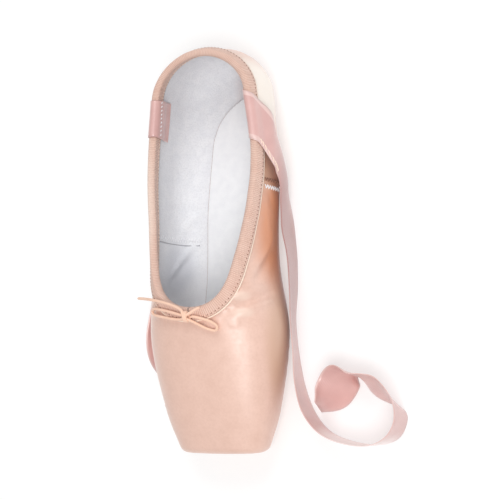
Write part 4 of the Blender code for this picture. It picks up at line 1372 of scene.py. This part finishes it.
def make_ribbon(name, side, middle, slants, folds):
    """A satin ribbon as a thin sheet, narrowed to one edge at its cut end, with its stitches."""
    shares = np.linspace(-0.5, 0.5, RIBBON_COLUMNS)
    top = sewn_end(side, middle, slants[0], shares)
    grid = np.concatenate([top, fall(side, folds, slants[1], shares)])
    held = len(top) - BLEND_ROWS
    for _ in range(BLEND_ROUNDS):
        grid[held:-1] = (grid[held - 1 : -2] + 2 * grid[held:-1] + grid[held + 1 :]) / 4
    along = run_along(grid[:, RIBBON_COLUMNS // 2])
    length = along[-1]
    kept = np.clip((length - along) / RIBBON_CUT, 0.03, 1.0)[:, None, None]
    grid = grid[:, :1] + (grid - grid[:, :1]) * kept
    node = "ribbon_right" if side > 0 else "ribbon_left"
    made = piece(name, *sheet_of(grid, RIBBON_THICK), [RIBBON], node=node, weave=weave_of(grid))
    if side < 0:
        row = np.linspace(*TAB_STITCH_ROWS, SEWN_STITCHES)
        column = np.linspace(*TAB_STITCH_COLUMNS, SEWN_STITCHES)
        ends = (row + SEWN_STEP, column + TAB_STITCH_OVER)
        make_stitches("tab_stitches", side, grid, (row - SEWN_STEP, column), ends)
    else:
        row = np.linspace(*EDGE_STITCH_ROWS, SEWN_STITCHES)
        column = np.full(SEWN_STITCHES, EDGE_STITCH_COLUMN)
        ends = (row + SEWN_STEP, column + EDGE_STITCH_OVER)
        make_stitches("edge_stitches", side, grid, (row, column), ends)


# Camera, floor and lights

CAMERA_SIDE = 28.91
CAMERA_TILT = 7.55
CAMERA_ROLL = -0.15
CAMERA_REACH = 695.2
CAMERA_LENS = 86.59
SENSOR = 36.0
TARGET = (0.0, 0.0, 25.0)
TARGET_SHIFT = (0.0622, -0.0055)
FLOOR_HALF = 3.0
FLOOR_GLOW = 0.42
SKY_STRENGTH = 0.5


def make_camera():
    """The camera at the photograph's angle to the shoe."""
    side, tilt, roll = (math.radians(a) for a in (CAMERA_SIDE, CAMERA_TILT, CAMERA_ROLL))
    back = Vector((math.sin(side) * math.cos(tilt), -math.sin(tilt), math.cos(side) * math.cos(tilt)))
    up = Vector((0, 1, 0))
    up = (up - back * up.dot(back)).normalized()
    right = up.cross(back)
    turned_right = right * math.cos(roll) + up * math.sin(roll)
    turned_up = up * math.cos(roll) - right * math.sin(roll)
    data = bpy.data.cameras.new("camera")
    data.lens = CAMERA_LENS
    data.sensor_width = SENSOR
    data.shift_x, data.shift_y = TARGET_SHIFT
    data.clip_start = 0.01
    camera = bpy.data.objects.new("camera", data)
    axes = Matrix((turned_right, turned_up, back)).transposed().to_4x4()
    eye = (Vector(TARGET) + back * CAMERA_REACH) * MM
    camera.matrix_world = Matrix.Translation(eye) @ axes
    bpy.context.scene.collection.objects.link(camera)
    bpy.context.scene.camera = camera


def area_light(name, spot, aim, size, power):
    """A soft square light, placed and aimed in metres."""
    data = bpy.data.lights.new(name, "AREA")
    data.size = size
    data.energy = power
    light = bpy.data.objects.new(name, data)
    light.location = spot
    light.rotation_euler = (Vector(aim) - Vector(spot)).to_track_quat("-Z", "Y").to_euler()
    bpy.context.scene.collection.objects.link(light)


def make_stage():
    """The floor, the lights and the sky."""
    floor_mesh = bpy.data.meshes.new("floor")
    half = FLOOR_HALF
    corners = [(-half, -half, 0), (half, -half, 0), (half, half, 0), (-half, half, 0)]
    floor_mesh.from_pydata(corners, [], [(0, 1, 2, 3)])
    look = Look("floor_look", (0.6, 0.6, 0.6), 0.9, Specular_IOR_Level=0.1)
    look.mottle((0.57, 0.57, 0.57), 60.0, 0.3, low=0.3, high=0.7)
    look.shader.inputs["Emission Color"].default_value = (1, 1, 1, 1)
    look.shader.inputs["Emission Strength"].default_value = FLOOR_GLOW
    floor_mesh.materials.append(look.material)
    floor = bpy.data.objects.new("floor", floor_mesh)
    bpy.context.scene.collection.objects.link(floor)

    area_light("key", (0.42, -0.42, 1.02), (0, -0.02, 0.02), 0.5, 6.5)
    area_light("fill", (0.2, 0.85, 0.95), (0, -0.03, 0.02), 0.8, 5.5)
    world = bpy.data.worlds.new("sky")
    world.use_nodes = True
    sky = world.node_tree.nodes["Background"]
    sky.inputs["Color"].default_value = (1, 1, 1, 1)
    sky.inputs["Strength"].default_value = SKY_STRENGTH
    bpy.context.scene.world = world
    bpy.context.scene.view_settings.view_transform = "Standard"


make_camera()
make_stage()
make_bow()
make_ribbon("ribbon_satin_right", 1, RIGHT_SEWN_AT, (RIBBON_SLANT, FALL_SLANT), RIGHT_RIBBON)
make_ribbon("ribbon_satin_left", -1, LEFT_SEWN_AT, (0.0, 0.0), LEFT_RIBBON)
make_upper()
make_binding()
make_binding_seams()
make_zigzags()
make_outsole()
make_insole()
